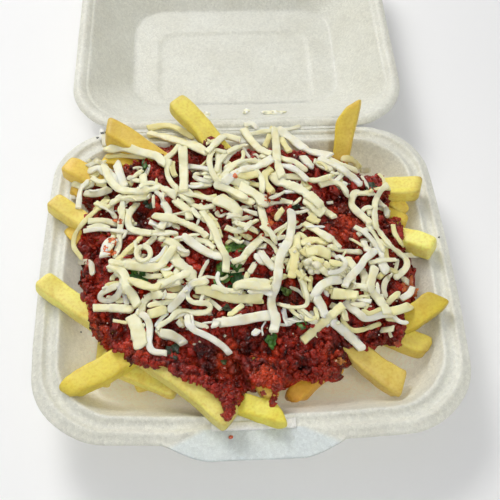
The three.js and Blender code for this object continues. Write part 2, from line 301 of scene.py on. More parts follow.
def fry_material(name="fry"):
    m, nt, b = material(name)
    co = object_coords(nt)
    look = attribute(nt, "look")
    blot = noise_tex(nt, co, 120, 3, 0.55)
    col = mix(nt, 0.6, look, ramp(nt, blot, [(0.30, lin((244, 228, 200))), (0.48, (1, 1, 1)), (0.72, (1.08, 1.08, 1.10))]), "MULTIPLY")
    pores = noise_tex(nt, co, 620, 3, 0.6)
    col = mix(nt, 0.45, col, ramp(nt, pores, [(0.32, lin((236, 214, 170))), (0.52, (1, 1, 1)), (0.72, (1.08, 1.08, 1.06))]), "MULTIPLY")
    nt.links.new(col, b.inputs["Base Color"])
    nt.links.new(ramp(nt, pores, [(0.3, 0.55), (0.7, 0.36)]), b.inputs["Roughness"])
    b.inputs["Specular IOR Level"].default_value = 0.40
    b.inputs["Subsurface Weight"].default_value = 0.35
    b.inputs["Subsurface Radius"].default_value = (1.0, 0.72, 0.22)
    b.inputs["Subsurface Scale"].default_value = 0.0035
    n1 = bump(nt, blot, 0.30, 0.0010)
    n2 = bump(nt, pores, 0.28, 0.00030, n1)
    nt.links.new(n2, b.inputs["Normal"])
    return m


def chili_material():
    m, nt, b = material("chili")
    co = object_coords(nt)
    look = attribute(nt, "look")
    mid = noise_tex(nt, co, 260, 4, 0.6)
    # painted shade and light: the mid and grit colour ramps follow the bump heights, darker in the hollows and lighter
    # on the tops
    col = mix(nt, 0.8, look, ramp(nt, mid, [(0.30, (0.50, 0.44, 0.44)), (0.45, (0.92, 0.90, 0.90)), (0.60, (1.12, 1.06, 1.06)), (0.74, (1.42, 1.25, 1.2))]), "MULTIPLY")
    grit = noise_tex(nt, co, 760, 4, 0.7)
    col = mix(nt, 0.6, col, ramp(nt, grit, [(0.34, (1.2, 1.16, 1.16)), (0.52, (1, 1, 1)), (0.68, (0.5, 0.45, 0.45))]), "MULTIPLY")
    nt.links.new(col, b.inputs["Base Color"])
    nt.links.new(ramp(nt, mid, [(0.3, 0.20), (0.7, 0.36)]), b.inputs["Roughness"])
    b.inputs["Specular IOR Level"].default_value = 0.30
    b.inputs["Coat Weight"].default_value = 0.30
    b.inputs["Coat Roughness"].default_value = 0.07
    b.inputs["Subsurface Weight"].default_value = 0.15
    b.inputs["Subsurface Radius"].default_value = (1.0, 0.18, 0.10)
    b.inputs["Subsurface Scale"].default_value = 0.002
    flip = nt.nodes.new("ShaderNodeMath")
    flip.operation = "SUBTRACT"
    flip.inputs[0].default_value = 1.0
    nt.links.new(grit, flip.inputs[1])
    n1 = bump(nt, mid, 0.75, 0.0015)
    n2 = bump(nt, flip.outputs[0], 0.9, 0.0008, n1)
    nt.links.new(n2, b.inputs["Normal"])
    return m


def cheese_material():
    m, nt, b = material("cheese")
    co = object_coords(nt)
    look = attribute(nt, "look")
    cloud = noise_tex(nt, co, 160, 3, 0.5)
    col = mix(nt, 0.6, look, ramp(nt, cloud, [(0.32, lin((246, 240, 214))), (0.55, (1, 1, 1)), (0.75, (1.03, 1.03, 1.04))]), "MULTIPLY")
    nt.links.new(col, b.inputs["Base Color"])
    grain = noise_tex(nt, co, 1100, 2, 0.6)
    nt.links.new(ramp(nt, grain, [(0.3, 0.56), (0.7, 0.42)]), b.inputs["Roughness"])
    b.inputs["Specular IOR Level"].default_value = 0.35
    b.inputs["Subsurface Weight"].default_value = 0.5
    b.inputs["Subsurface Radius"].default_value = (1.0, 0.88, 0.5)
    b.inputs["Subsurface Scale"].default_value = 0.0028
    n1 = bump(nt, cloud, 0.25, 0.0006)
    n2 = bump(nt, grain, 0.25, 0.00015, n1)
    nt.links.new(n2, b.inputs["Normal"])
    return m


def herb_material():
    m, nt, b = material("herb")
    co = object_coords(nt)
    look = attribute(nt, "look")
    v = noise_tex(nt, co, 420, 3, 0.6)
    col = mix(nt, 0.9, look, ramp(nt, v, [(0.32, (0.35, 0.42, 0.3)), (0.52, (1, 1, 1)), (0.72, (1.9, 1.7, 1.6))]), "MULTIPLY")
    nt.links.new(col, b.inputs["Base Color"])
    b.inputs["Roughness"].default_value = 0.38
    b.inputs["Specular IOR Level"].default_value = 0.45
    nt.links.new(bump(nt, v, 0.6, 0.0007), b.inputs["Normal"])
    return m


def sauce_material(name="sauce", rough=0.2, coat=0.4):
    m, nt, b = material(name)
    co = object_coords(nt)
    look = attribute(nt, "look")
    v = noise_tex(nt, co, 330, 3, 0.6)
    col = mix(nt, 0.7, look, ramp(nt, v, [(0.3, (0.55, 0.5, 0.5)), (0.55, (1, 1, 1)), (0.75, (1.3, 1.25, 1.2))]), "MULTIPLY")
    nt.links.new(col, b.inputs["Base Color"])
    b.inputs["Roughness"].default_value = rough
    b.inputs["Coat Weight"].default_value = coat
    b.inputs["Coat Roughness"].default_value = 0.1
    nt.links.new(bump(nt, v, 0.5, 0.0006), b.inputs["Normal"])
    return m


FOAM, FRY, CHILI = foam_material(), fry_material(), chili_material()
# the stain material also carries the painted shade of the hinge notch
CHEESE, HERB, SAUCE, STAIN_AND_NOTCH_SHADE = cheese_material(), herb_material(), sauce_material(), sauce_material("stain", 0.45, 0.05)


# ------------------------------------------------------------------ foam box
def round_rect(hx, hf, hb, r, z, bow, bow_back, arc=18, sides=(24, 30, 24, 96)):
    out = []

    def corner(cx, cy, a0):
        a = np.radians(a0 + 90 * np.arange(arc + 1) / arc)
        out.append(np.stack([cx + r * np.cos(a), cy + r * np.sin(a)], 1))

    def side(x0, y0, x1, y1, n):
        t = np.arange(1, n) / n
        out.append(np.stack([lerp(x0, x1, t), lerp(y0, y1, t)], 1))

    corner(hx - r, -hf + r, -90)
    side(hx, -hf + r, hx, hb - r, sides[0])
    corner(hx - r, hb - r, 0)
    side(hx - r, hb, -hx + r, hb, sides[1])
    corner(-hx + r, hb - r, 90)
    side(-hx, hb - r, -hx, -hf + r, sides[2])
    corner(-hx + r, -hf + r, 180)
    side(-hx + r, -hf, hx - r, -hf, sides[3])
    p = np.vstack(out)
    x, y = p[:, 0], p[:, 1]
    bx = bow * (1 - (y / np.where(y < 0, hf, hb)) ** 2) * np.sign(x) * np.clip(np.abs(x) / hx, 0, 1) ** 4
    by = np.where(y < 0, -bow * (1 - (x / hx) ** 2) * np.clip(-y / hf, 0, 1) ** 4,
                  bow_back * (1 - (x / hx) ** 2) * np.clip(y / hb, 0, 1) ** 4)
    return np.stack([x + bx, y + by, np.full(len(x), float(z))], 1)


TRAY_OUT = [[44, -H, 0.2], [39, -H + 0.9, 0.25], [35.5, -H + 4, 0.3], [18.2, -7.2, 0.8], [14, -5, 0.9], [1.5, -5.2, 1], [0, -4.0, 1]]
TRAY_IN = [[0.4, -2.2, 1], [2.6, -1.6, 1], [4.6, -0.1, 1], [6.0, 0.1, 1], [8.0, -1.9, 1], [10.8, -2.1, 1], [12.8, -0.1, 0.9], [14.2, 0, 0.9], [16.0, -2.2, 0.9],
           [20.5, -9, 0.75], [30, -23.5, 0.35], [37, -30.0, 0.25], [48, FLOOR_IN - H, 0.2]]
TRAY_WALL = [[48, FLOOR_IN - H], [37, -30.0], [30, -23.5], [20.5, -9], [16, -2.2], [14.2, 0]]
LID_OUT = [[57, 37.5, 14, -H], [59, 39.5, 16, -H + 1.5], [76, 50.5, 24, -H + 1.7], [81, 56, 27, -H + 3.4], [103, 92, 36, -9.5],
           [107.5, 98.5, 38, -4.2], [114.4, 105.4, 41.5, -3.9], [115.8, 106.85, 42.9, -3.2]]
LID_IN = [[115.3, 106.4, 42.5, -1.6], [113.2, 104.3, 41.2, -0.3], [111.4, 102.5, 40.4, 0], [109.4, 100.5, 39.4, -0.6], [107.7, 98.9, 38.5, -2.0],
          [107.0, 98.2, 38.2, -2.6], [106.0, 97.2, 37.8, -2.8], [104.6, 95.6, 37, -3.9],
          [84, 62, 27, -28], [79.4, 55, 25.4, -33.3], [77.6, 52.8, 24.4, -34.7], [73, 49.5, 22, -34.9], [61.8, 41.6, 17.5, -34.9], [59.6, 39.8, 16.4, -35.0],
          [56.4, 36.8, 13.6, -36.0], [53, 33.6, 12.6, -36.1]]


def split_long(rows, step, dist):
    """Adds rows along the stretches that are longer than step."""
    out = [rows[0]]
    for a, b in zip(rows[:-1], rows[1:]):
        n = max(1, int(math.ceil(dist(a, b) / step)))
        out += [a + (b - a) * k / n for k in range(1, n + 1)]
    return np.array(out)


def tab_edge(x):
    """How far forward the lifting tab reaches."""
    a = np.clip(np.minimum((TAB_X1 + 1 - x) / 25, (x - TAB_X0 + 1) / 26), 0, 1)
    return np.where(a > 0, -111.4 - 9.4 * np.sin(a * math.pi / 2) ** 1.1, 0)


def build_tray():
    rows = chaikin(TRAY_OUT + TRAY_IN, 2)
    rows = split_long(rows, 2.4, lambda a, b: math.hypot(a[0] - b[0], a[1] - b[1]) * (4 if min(a[1], b[1]) > -2.7 else 1))
    pts, cool, warm = [], [], []
    k_top = int(np.argmin(rows[:, 0]))          # the outer edge: rows before it are the outside
    for k, (inset, z, share) in enumerate(rows):
        hb = HINGE_Y - HALF_FOLD - inset
        p = round_rect(TRAY_W / 2 - inset, TRAY_FRONT - inset, hb, max(20, TRAY_R - inset * 0.55), H + z, BOW * share, 0)
        x, y, zz = p.T
        inside = k > k_top
        front = y < -90
        # the tab: the outer edge is drawn forward
        reach = tab_edge(x)
        y_edge = -TRAY_FRONT - BOW * (1 - (x / (TRAY_W / 2)) ** 2)
        pull = np.where(front & (reach < 0), np.minimum(0, reach - y_edge), 0)
        t = np.clip(1 - inset / 5.8, 0, 1)
        y2 = y + pull * t
        # the flat trapezoid behind the tab
        s = np.clip((-y2 - 100.4) / 11.6, -0.4, 1.2)
        xl, xr = lerp(-27, -50, s), lerp(24, 48, s)
        edge = np.minimum(x - xl, xr - x)
        flat = smooth((edge + 0.2) / 1.6) * smooth((-y2 - 99.9) / 0.9)
        if inside:
            z2 = lerp(zz, H - 1.4, flat)
            slot = smooth((np.minimum(x - SLOT_X0, SLOT_X1 - x) + 0.5) / 1.0) * smooth((y2 - SLOT_Y0 + 0.35) / 0.7) * smooth((SLOT_Y1 + 0.9 - y2) / 1.6)
            z2 = z2 - slot * 1.2
            # two fold lines along the hinge
            fold = 0.60 * np.exp(-((y2 - 109.0) / 0.6) ** 2) + 0.60 * np.exp(-((y2 - 104.8) / 0.6) ** 2)
            z2 = z2 - fold * smooth((99 - np.abs(x)) / 6)
        else:
            z2 = lerp(zz, np.minimum(zz, H - 4.0), np.clip(flat, 0, 1))
            if inset < 6:
                z2 = np.where(pull < 0, H - 4.0 + (1.2 if inset < 0.4 else 0), z2)
        wob = 0.28 * noise3(x / 17, y2 / 17, zz / 17, 301) + 0.12 * noise3(x / 6, y2 / 6, zz / 6, 302)
        if z < -34 and not inside:
            wob = wob * 0
        keep = np.where(y2 > HINGE_Y - 2.0, 0.2, 1.0)
        nx, ny = x / 120, y2 / 112
        pts.append(np.stack([x - nx * wob * 0.7 * keep, np.minimum(y2 - ny * wob * 0.7 * keep, HINGE_Y - HALF_FOLD), z2 + wob * 0.6 * keep * (1 - smooth((edge + 4) / 6) * (y2 < -98))], 1))
        cool.append(smooth((edge - 0.5) / 9) * smooth((-y2 - 102.6) / 1.2) * (1 if inside or inset < 6 else 0))
        # warm is 0 outside and near the rim and rises to 1 deep in the hollow, where the foam material paints light: a
        # paler colour and a faint glow
        warm.append(np.full(len(x), float(smooth((inset - 14) / 18)) if inside else 0.0))
    n = len(pts[0])
    k = len(pts)
    allp = np.vstack(pts + [pts[0].mean(0)[None], np.array([[0, 2, H + rows[-1, 1]]])])
    coolv = np.concatenate(cool + [np.zeros(2)])
    ob = make("tray_foam", allp, loft_faces(k, n, k * n, k * n + 1), FOAM, {"cool": coolv, "warm": np.concatenate(warm + [np.array([0.0, 1.0])])})
    return ob, allp


def build_lid():
    rows = [[*r, (-11.0 if r[0] < 62 else 0.0)] for r in LID_OUT + LID_IN]
    rows = chaikin(rows, 2)
    rows = split_long(rows, 2.6, lambda a, b: math.hypot(a[1] - b[1], a[3] - b[3]) * (3 if min(a[3], b[3]) > -3.3 else 1))
    k_top = int(np.argmax(rows[:, 0]))
    pts = []
    for k, (hx, hy, r, z, shift) in enumerate(rows):
        p = round_rect(hx, hy, hy, r, H + z, 0, 0, 18, (26, 30, 26, 30))
        x, y, zz = p.T
        y = y + LID_CY + shift
        wob = 0.30 * noise3(x / 17, y / 17, zz / 17, 311) + 0.12 * noise3(x / 6, y / 6, zz / 6, 312)
        if k < k_top and z < -34:
            wob = wob * 0
        if k > k_top:
            zz = zz - 1.1 * np.exp(-((y - 121.2) / 0.7) ** 2) * smooth((98 - np.abs(x)) / 14)
        keep = np.where(y < HINGE_Y + 2.5, 0.2, 1.0)
        nx, ny = x / 115, (y - LID_CY) / 107
        pts.append(np.stack([x - nx * wob * 0.7 * keep, np.maximum(y - ny * wob * 0.7 * keep, HINGE_Y + HALF_FOLD), zz + wob * 0.6 * keep], 1))
    n, k = len(pts[0]), len(pts)
    last = pts[-1].mean(0)
    allp = np.vstack(pts + [pts[0].mean(0)[None], last[None]])
    return make("lid_foam", allp, loft_faces(k, n, k * n, k * n + 1), FOAM, {"cool": np.zeros(len(allp))})


def build_web():
    """The thin folded foam that joins tray and lid."""
    xs = np.linspace(-78, 78, 79)
    prof = [(-2.6, -1.15), (-1.4, -1.62), (-0.6, -1.95), (0, -2.1), (0.6, -1.95), (1.4, -1.62), (2.6, -1.2), (2.6, -2.3), (1.2, -2.9), (0, -3.1), (-1.2, -2.9), (-2.6, -2.3)]
    pts = []
    for x in xs:
        drop = 0.9 * smooth((abs(x) - 70) / 8)
        for dy, z in prof:
            pts.append([x, HINGE_Y + dy, H + z - drop + 0.08 * float(noise2(x / 5, dy, 330))])
    n = len(prof)
    k = len(xs)
    pts = np.array(pts + [[xs[0], HINGE_Y, H - 2.6], [xs[-1], HINGE_Y, H - 2.6]])
    faces = [[q for q in f[::-1]] for f in loft_faces(k, n, k * n, k * n + 1)]
    return make("hinge_web", pts, faces, FOAM, {"cool": np.zeros(len(pts))})


def build_ledge():
    """The raised strip of foam along the back of the tab."""
    xs = np.linspace(-24.1, 21.0, 70)
    prof = [(-104.5, 34.6), (-104.55, 36.4), (-104.35, 37.2), (-103.8, 37.5), (-102.3, 37.45), (-100.9, 37.6), (-100.1, 37.2), (-99.9, 34.6)]
    pts = []
    for x in xs:
        t = (x + 24.1) / 45.1
        rise = 0.75 * float(smooth((x - 19.6) / 0.8)) + 0.25 * float(smooth((-23.2 - x) / 0.6))
        soft = 0.5 * float(smooth((x - 20.4) / 0.6)) + 0.5 * float(smooth((-23.7 - x) / 0.4))
        for y, z in prof:
            back = 1.3 * t * float(smooth((y + 104.2) / 3))
            wob = 0.12 * float(noise2(x / 5, y / 2, 340)) + 0.05 * float(noise2(x / 1.5, y, 341))
            pts.append([x, y + back + 0.35 * t, z + (rise * (0.5 + 0.5 * t) - soft + wob if z > 35 else 0)])
    n, k = len(prof), len(xs)
    pts = np.array(pts + [[xs[0], -102.2, 36], [xs[-1], -101.6, 36]])
    faces = [f[::-1] for f in loft_faces(k, n, k * n, k * n + 1)]
    # painted light: the whole strip is painted paler, as if lit
    return make("tab_ledge", pts, faces, FOAM, {"bright": np.full(len(pts), 0.9)})


def slab(name, corners, top, bottom, soft, attrs):
    """A small thin plate with rounded corners."""
    c = chaikin(list(corners) + [corners[0]], 2)[:-1]
    mid = c.mean(0)
    rings = [(1.0, bottom), (1.0, top - soft), (0.93, top - 0.25 * soft), (0.80, top)]
    pts = np.vstack([np.column_stack([mid + (c - mid) * q, np.full(len(c), z)]) for q, z in rings] + [[[*mid, bottom]], [[*mid, top]]])
    n, k = len(c), len(rings)
    return make(name, pts, loft_faces(k, n, k * n, k * n + 1), FOAM, {key: np.full(len(pts), v) for key, v in attrs.items()})


tray_ob, tray_pts = build_tray()
lid_ob = build_lid()
web_ob = build_web()
ledge_ob = build_ledge()
# a small torn lug of foam at the left end of the hinge
lug_ob = slab("hinge_lug", [on_plane(u, v, 0.4)[:2] for u, v in [(99.2, 140), (104.6, 140), (104.6, 128), (99.2, 128)]], H + 0.5, H - 2.0, 0.8, {"bright": 0.5})


# ------------------------------------------------------------------ the heap's shape
OUT = [97.2, 2.0, 10.5, 6.0, -2.2, 2.7, 1.4, -2.3, 0.3, -0.5, -3.0]


def outline(th):
    r = OUT[0] + 0 * th
    for k in range(1, 6):
        r = r + OUT[2 * k - 1] * np.cos(k * th) + OUT[2 * k] * np.sin(k * th)
    return r - 2.5 + 3 * noise2(th * 3.2 + 9, np.full_like(th, 4.5), 3)


def polar(x, y):
    th = np.arctan2(y - CY, x - CX) % (2 * math.pi)
    return np.hypot(x - CX, y - CY) / outline(th), th


def back_share(th):
    return np.maximum(0, np.sin(th)) ** 2


def bed_top(f, th, x, y):
    return H + lerp(12, -4 + 6 * back_share(th), f * f) + 1.3 * noise2(x / 13, y / 13, 7)


def beef_top(f, th, x, y):
    return bed_top(f, th, x, y) + lerp(9, 6.5, f) + 1.5 * noise2(x / 9, y / 9, 21) + 0.9 * noise2(x / 5, y / 5, 22)


def tray_room(x, y, z):
    """Distance inwards from the tray's inner wall at height z above the rim plane (negative outside)."""
    r = np.array(TRAY_WALL)
    inset = np.interp(z, r[:, 1], r[:, 0])
    rad = np.maximum(20, TRAY_R - inset * 0.55)
    hx = TRAY_W / 2 - inset
    hy = np.where(y < 0, TRAY_FRONT - inset, HINGE_Y - HALF_FOLD - inset)
    qx, qy = np.abs(x) - hx + rad, np.abs(y) - hy + rad
    d = np.hypot(np.maximum(qx, 0), np.maximum(qy, 0)) + np.minimum(np.maximum(qx, qy), 0) - rad
    return -d


def keep_in(p, gap=0.4):
    """Food stays inside the tray's wall, and what hangs over the rim lies on it."""
    p = np.array(p, float)
    box = p[:, 1] < HINGE_Y - HALF_FOLD - 4
    on_rim = box & (tray_room(p[:, 0], p[:, 1], 0.0) < 0.2) & (p[:, 2] > H - 4.5) & (p[:, 2] < H + 0.15)
    p[on_rim, 2] += 0.85 * (H + 0.15 - p[on_rim, 2])
    for _ in range(4):
        z = np.minimum(p[:, 2] - H, 0.0)
        room = tray_room(p[:, 0], p[:, 1], z)
        k = box & ~on_rim & (p[:, 2] < H) & (room < gap)
        if not k.any():
            break
        x, y, z = p[k, 0], p[k, 1], z[k]
        gx = tray_room(x + 0.5, y, z) - tray_room(x - 0.5, y, z)
        gy = tray_room(x, y + 0.5, z) - tray_room(x, y - 0.5, z)
        g = np.hypot(gx, gy) + 1e-6
        p[k, 0] += gx / g * (gap - room[k])
        p[k, 1] += gy / g * (gap - room[k])
    p[:, 2] = np.maximum(p[:, 2], FLOOR_IN + 0.2)
    return p


# ------------------------------------------------------------------ fries
EDGE, BROWN = lin((214, 166, 48)), lin((140, 88, 24))


def fry(a, b, w, h, tip, seed, base, bend=0.0, browning=0.25, crisp=0.5, near=0.9, slant=0.0, roll=0.0, n=28, step=1.6):
    a, b = np.array(a, float), np.array(b, float)
    d = b - a
    ln = np.linalg.norm(d)
    d /= ln
    s = np.array([-d[1], d[0], 0])
    s /= np.linalg.norm(s)
    u = np.cross(d, s)
    if roll:
        s, u = s * math.cos(roll) + u * math.sin(roll), u * math.cos(roll) - s * math.sin(roll)
    steps = max(10, int(ln / step))
    t = np.concatenate([[0, 0.4 / ln, 1.2 / ln], np.linspace(2.4 / ln, 1 - 0.66 * w / ln, steps), 1 - np.array([0.50, 0.36, 0.24, 0.14, 0.07, 0.025, 0]) * w / ln])
    kk = np.interp(t * ln, [0, 0.4, 1.2, 2.6, ln * 0.45, ln - 0.8 * w, ln - 0.5 * w, ln - 0.3 * w, ln - 0.14 * w, ln - 0.05 * w, ln],
                   [near * 0.72, near * 0.88, near * 0.97, near, 0.45 * near + 0.55, 1.0] + [min(1.0, lerp(p, q, tip)) for p, q in ((0.93, 1.0), (0.80, 0.985), (0.60, 0.94), (0.42, 0.85), (0.24, 0.68))])
    phi = 2 * math.pi * (np.arange(n) + 0.5) / n
    ce, se = np.cos(phi), np.sin(phi)
    e = 2 / 5.0
    px, py = np.sign(ce) * np.abs(ce) ** e, np.sign(se) * np.abs(se) ** e
    edge = (2 * np.abs(ce * se)) ** 3.0
    T, P = np.meshgrid(t, np.arange(n), indexing="ij")
    wob = noise2(T * ln / 17, np.full_like(T, 2.5), seed)
    wob2 = noise2(T * ln / 13, np.full_like(T, 7.5), seed + 1)
    wob3 = noise2(T * ln / 6.5, np.full_like(T, 3.5), seed + 2)
    hw = w / 2 * kk[:, None] * (1.02 + 0.09 * wob + 0.035 * wob3)
    hh = h / 2 * kk[:, None] * (1.02 + 0.09 * wob2 - 0.03 * wob3)
    X, Y = px[P] * hw, py[P] * hh
    # one edge is cut rounder than the others
    lean = 0.10 * math.sin(seed * 1.7)
    X = X * (1 + lean * py[P])
    sink = 1 - 0.045 * (1 - edge[P])
    X, Y = X * sink, Y * sink
    along = T * ln + slant * X * smooth((T - (1 - 1.3 * w / ln)) / (1.3 * w / ln))
    cx = 0.9 * wob + bend * np.sin(math.pi * T)
    cy = 0.6 * wob2 + 0.6 * bend * np.sin(math.pi * T) ** 2
    pts = a + along[..., None] * d + (X + cx)[..., None] * s + (Y + cy)[..., None] * u
    q = pts / 5.0
    rough = 0.26 * noise3(q[..., 0], q[..., 1], q[..., 2], seed + 5) + 0.08 * noise3(q[..., 0] * 3.1, q[..., 1] * 3.1, q[..., 2] * 3.1, seed + 6)
    # faint long streaks
    rough = rough + 0.07 * noise2(phi[P] * 4.5 + seed % 7, T * ln / 22, seed + 7)
    pts = pts + rough[..., None] * (px[P][..., None] * s + py[P][..., None] * u)
    k = len(t)
    flat = np.vstack([pts.reshape(-1, 3), pts[0].mean(0)[None], (pts[-1].mean(0) + d * 0.15)[None]])
    # colour: pale flanks, golden edges, browner end
    base = lin(base)
    patch = noise3(pts[..., 0] / 12, pts[..., 1] / 12, pts[..., 2] / 12, seed + 9)
    fleck = noise3(pts[..., 0] / 3.2, pts[..., 1] / 3.2, pts[..., 2] / 3.2, seed + 10)
    streak = noise2(phi[P] * 3.5, T * ln / 26 + 4, seed + 11)
    e01 = np.clip(edge[P] * (0.35 + 0.65 * crisp) * (0.6 + 0.7 * wob2 + 0.2 * fleck), 0, 1)
    endw = smooth((T * ln - (ln - 0.42 * w)) / (0.4 * w))
    col = np.broadcast_to(base, (*T.shape, 3)).copy()
    col = col * (1 + 0.07 * patch + 0.03 * fleck + 0.05 * streak)[..., None] * np.stack([np.ones_like(T), 1 + 0.03 * streak, 1 + 0.10 * patch - 0.12 * streak], -1)
    g = (e01 * 0.5 * crisp)[..., None]
    col = col * (1 - g) + EDGE * g
    g = (endw * browning * (0.8 + 0.4 * patch) * (0.62 + 0.6 * edge[P]))[..., None].clip(0, 1)
    col = col * (1 - g) + BROWN * g
    g = (smooth((fleck - 0.62) / 0.2) * crisp * 0.35)[..., None]
    col = col * (1 - g) + EDGE * g
    c = np.vstack([col.reshape(-1, 3), col[0].mean(0)[None], col[-1].mean(0)[None]])
    return flat, loft_faces(k, n, k * n, k * n + 1), np.clip(c, 0, 0.96)


# start, end (height above the rim plane), width, height, bluntness, colour, bend, browning, crispness, width at the near end, slant
FRIES = [
    ([-70, -48, -5], [-120, -12, 7.0], 13, 11, 0.95, (248, 236, 128), 0.8, 0.10, 0.2, 0.9, 0.15),
    ([-52, -52, 4], [-102, -81, -0.5], 13.5, 11, 0.45, (232, 214, 84), -2.0, 0.2, 0.3, 0.95, -0.5),
    ([-84, -32, -14], [-85, -68, -17], 10, 10, 0.8, (242, 228, 122), 0.0, 0.15, 0.2, 0.9, 0.2),
    ([-86, -55.5, -12], [-43, -75.2, -12.5], 11.5, 10, 0.9, (255, 238, 128), 0.3, 0.1, 0.2, 0.95, 0.0),
    ([-62, -60, 6], [-13.2, -101.0, 5.2], 14.5, 11.5, 1.2, (228, 216, 120), 1.4, 0.15, 0.15, 0.9, -0.02),
    ([-22, -84, -3], [14.8, -100.6, 4.4], 12, 9, 0.35, (232, 222, 92), -0.4, 0.1, 0.15, 1.0, -0.85),
    ([-4, -66, 2], [10, -89, 5], 11, 10, 0.7, (236, 206, 96), 0.3, 0.3, 0.5, 0.9, 0.0),
    ([44, -62, -12], [19, -85, -9], 11.5, 10, 0.6, (218, 168, 62), 0.5, 0.5, 1.0, 0.9, 0.2),
    ([50, -50, -2], [82.5, -79.5, -8], 14.5, 12, 1.35, (224, 200, 104), -1.6, 0.2, 0.25, 0.8, -0.38),
    ([52, -34, -18], [58, -58, -17], 9, 9, 0.7, (204, 156, 52), 0.0, 0.4, 0.6, 0.9, 0.0),
    ([66, -44, -3], [101.5, -58, -8], 13, 11, 0.85, (236, 216, 104), 0.9, 0.9, 0.3, 0.9, 0.55),
    ([80, -48, 0], [109.8, -30.6, 4.4], 13, 11, 0.9, (210, 188, 68), -1.2, 0.2, 0.25, 0.95, -0.5),
    ([84, 20, 0], [112.5, 4, 5.5], 13, 11, 1.1, (244, 234, 132), 0.4, 0.05, 0.1, 0.9, 0.1),
    ([74, 50, 4], [111.5, 48.5, 6.5], 14, 12, 0.9, (250, 236, 126), 0.5, 0.7, 0.3, 0.85, 0.3),
    ([82, 42, -6], [101.5, 30, -3], 9, 9, 0.7, (236, 212, 96), 0.0, 0.25, 0.4, 0.9, 0.0),
    ([60, 64, -22], [73.5, 109, 23], 13, 11, 0.62, (234, 208, 86), 1.2, 0.2, 0.3, 0.95, -0.9),
    ([2, 58, 4], [-43, 116, 20], 13.5, 12, 0.85, (238, 222, 108), -1.8, 0.25, 0.4, 0.8, -0.1),
    ([-34, 66, 4], [-87.5, 99.5, 13], 16.5, 13, 0.95, (228, 198, 84), 1.0, 0.2, 0.35, 0.5, -0.5),
    ([-72, 54, 2], [-113, 73, 7], 12.5, 11.5, 0.9, (240, 210, 96), -0.6, 0.15, 0.3, 0.9, 0.1),
    ([-78, 46, -8], [-110, 60, -0.5], 9, 9, 0.5, (222, 186, 70), 0.3, 0.3, 0.5, 0.9, -0.3),
    ([-72, 14, -3], [-119, 45, 7], 12.5, 11, 0.95, (246, 226, 118), 0.8, 0.25, 0.45, 0.85, 0.1),
    ([-80, -4, -8], [-110, 30, -1.5], 10, 10, 0.5, (238, 208, 92), -0.5, 0.3, 0.5, 0.85, 0.0),
]

fries_shown, fries_lower = Bag(), Bag()
samples = []


def line_points(a, b, step=5.0):
    a, b = np.array(a, float), np.array(b, float)
    n = max(2, int(np.linalg.norm(b - a) / step) + 1)
    return a + (b - a) * np.linspace(0, 1, n)[:, None]


def seen_fry(u0, v0, z0, u1, v1, z1):
    """End points of a fry given by where it shows and how high it lies above the rim plane."""
    return (on_plane(u0, v0, z0) - [0, 0, H]).tolist(), (on_plane(u1, v1, z1) - [0, 0, H]).tolist()


# pieces that show only between the others
BITS = [
    (seen_fry(268, 368, -6, 289, 381, -5), 9, 8, 0.7, (228, 206, 112)), (seen_fry(290, 369, -8, 311, 379, -7), 8.5, 8, 0.8, (224, 200, 104)),
    (seen_fry(150, 168, 1, 104, 159, 1), 9, 8, 0.6, (236, 206, 72)), (seen_fry(404, 292, -4, 409, 282, -3), 9, 8, 0.6, (222, 160, 60)),
    (seen_fry(384, 199, -3, 405, 213, -2), 9, 8, 0.5, (244, 222, 108)), (seen_fry(100, 232, -5, 86, 247, -7), 9, 8, 0.6, (230, 196, 70)),
    (seen_fry(330, 366, -14, 349, 358, -13), 8, 8, 0.6, (226, 178, 64)), (seen_fry(120, 340, -16, 104, 352, -15), 9, 9, 0.6, (236, 220, 112)),
]

for k, (a, b, w, h, tip, base, bend, browning, crisp, near, slant) in enumerate(FRIES):
    a, b = [a[0], a[1], a[2] + H], [b[0], b[1], b[2] + H]
    fries_shown.add(*fry(a, b, w, h, tip, 1000 + 17 * k, base, bend, browning, crisp, near=near, slant=slant))
    samples.append(line_points(a, b))
for k, ((a, b), w, h, tip, base) in enumerate(BITS):
    a, b = [a[0], a[1], a[2] + H], [b[0], b[1], b[2] + H]
    fries_shown.add(*fry(a, b, w, h, tip, 1600 + 17 * k, base, 0.4, 0.15, 0.3, near=0.85, slant=0.2))

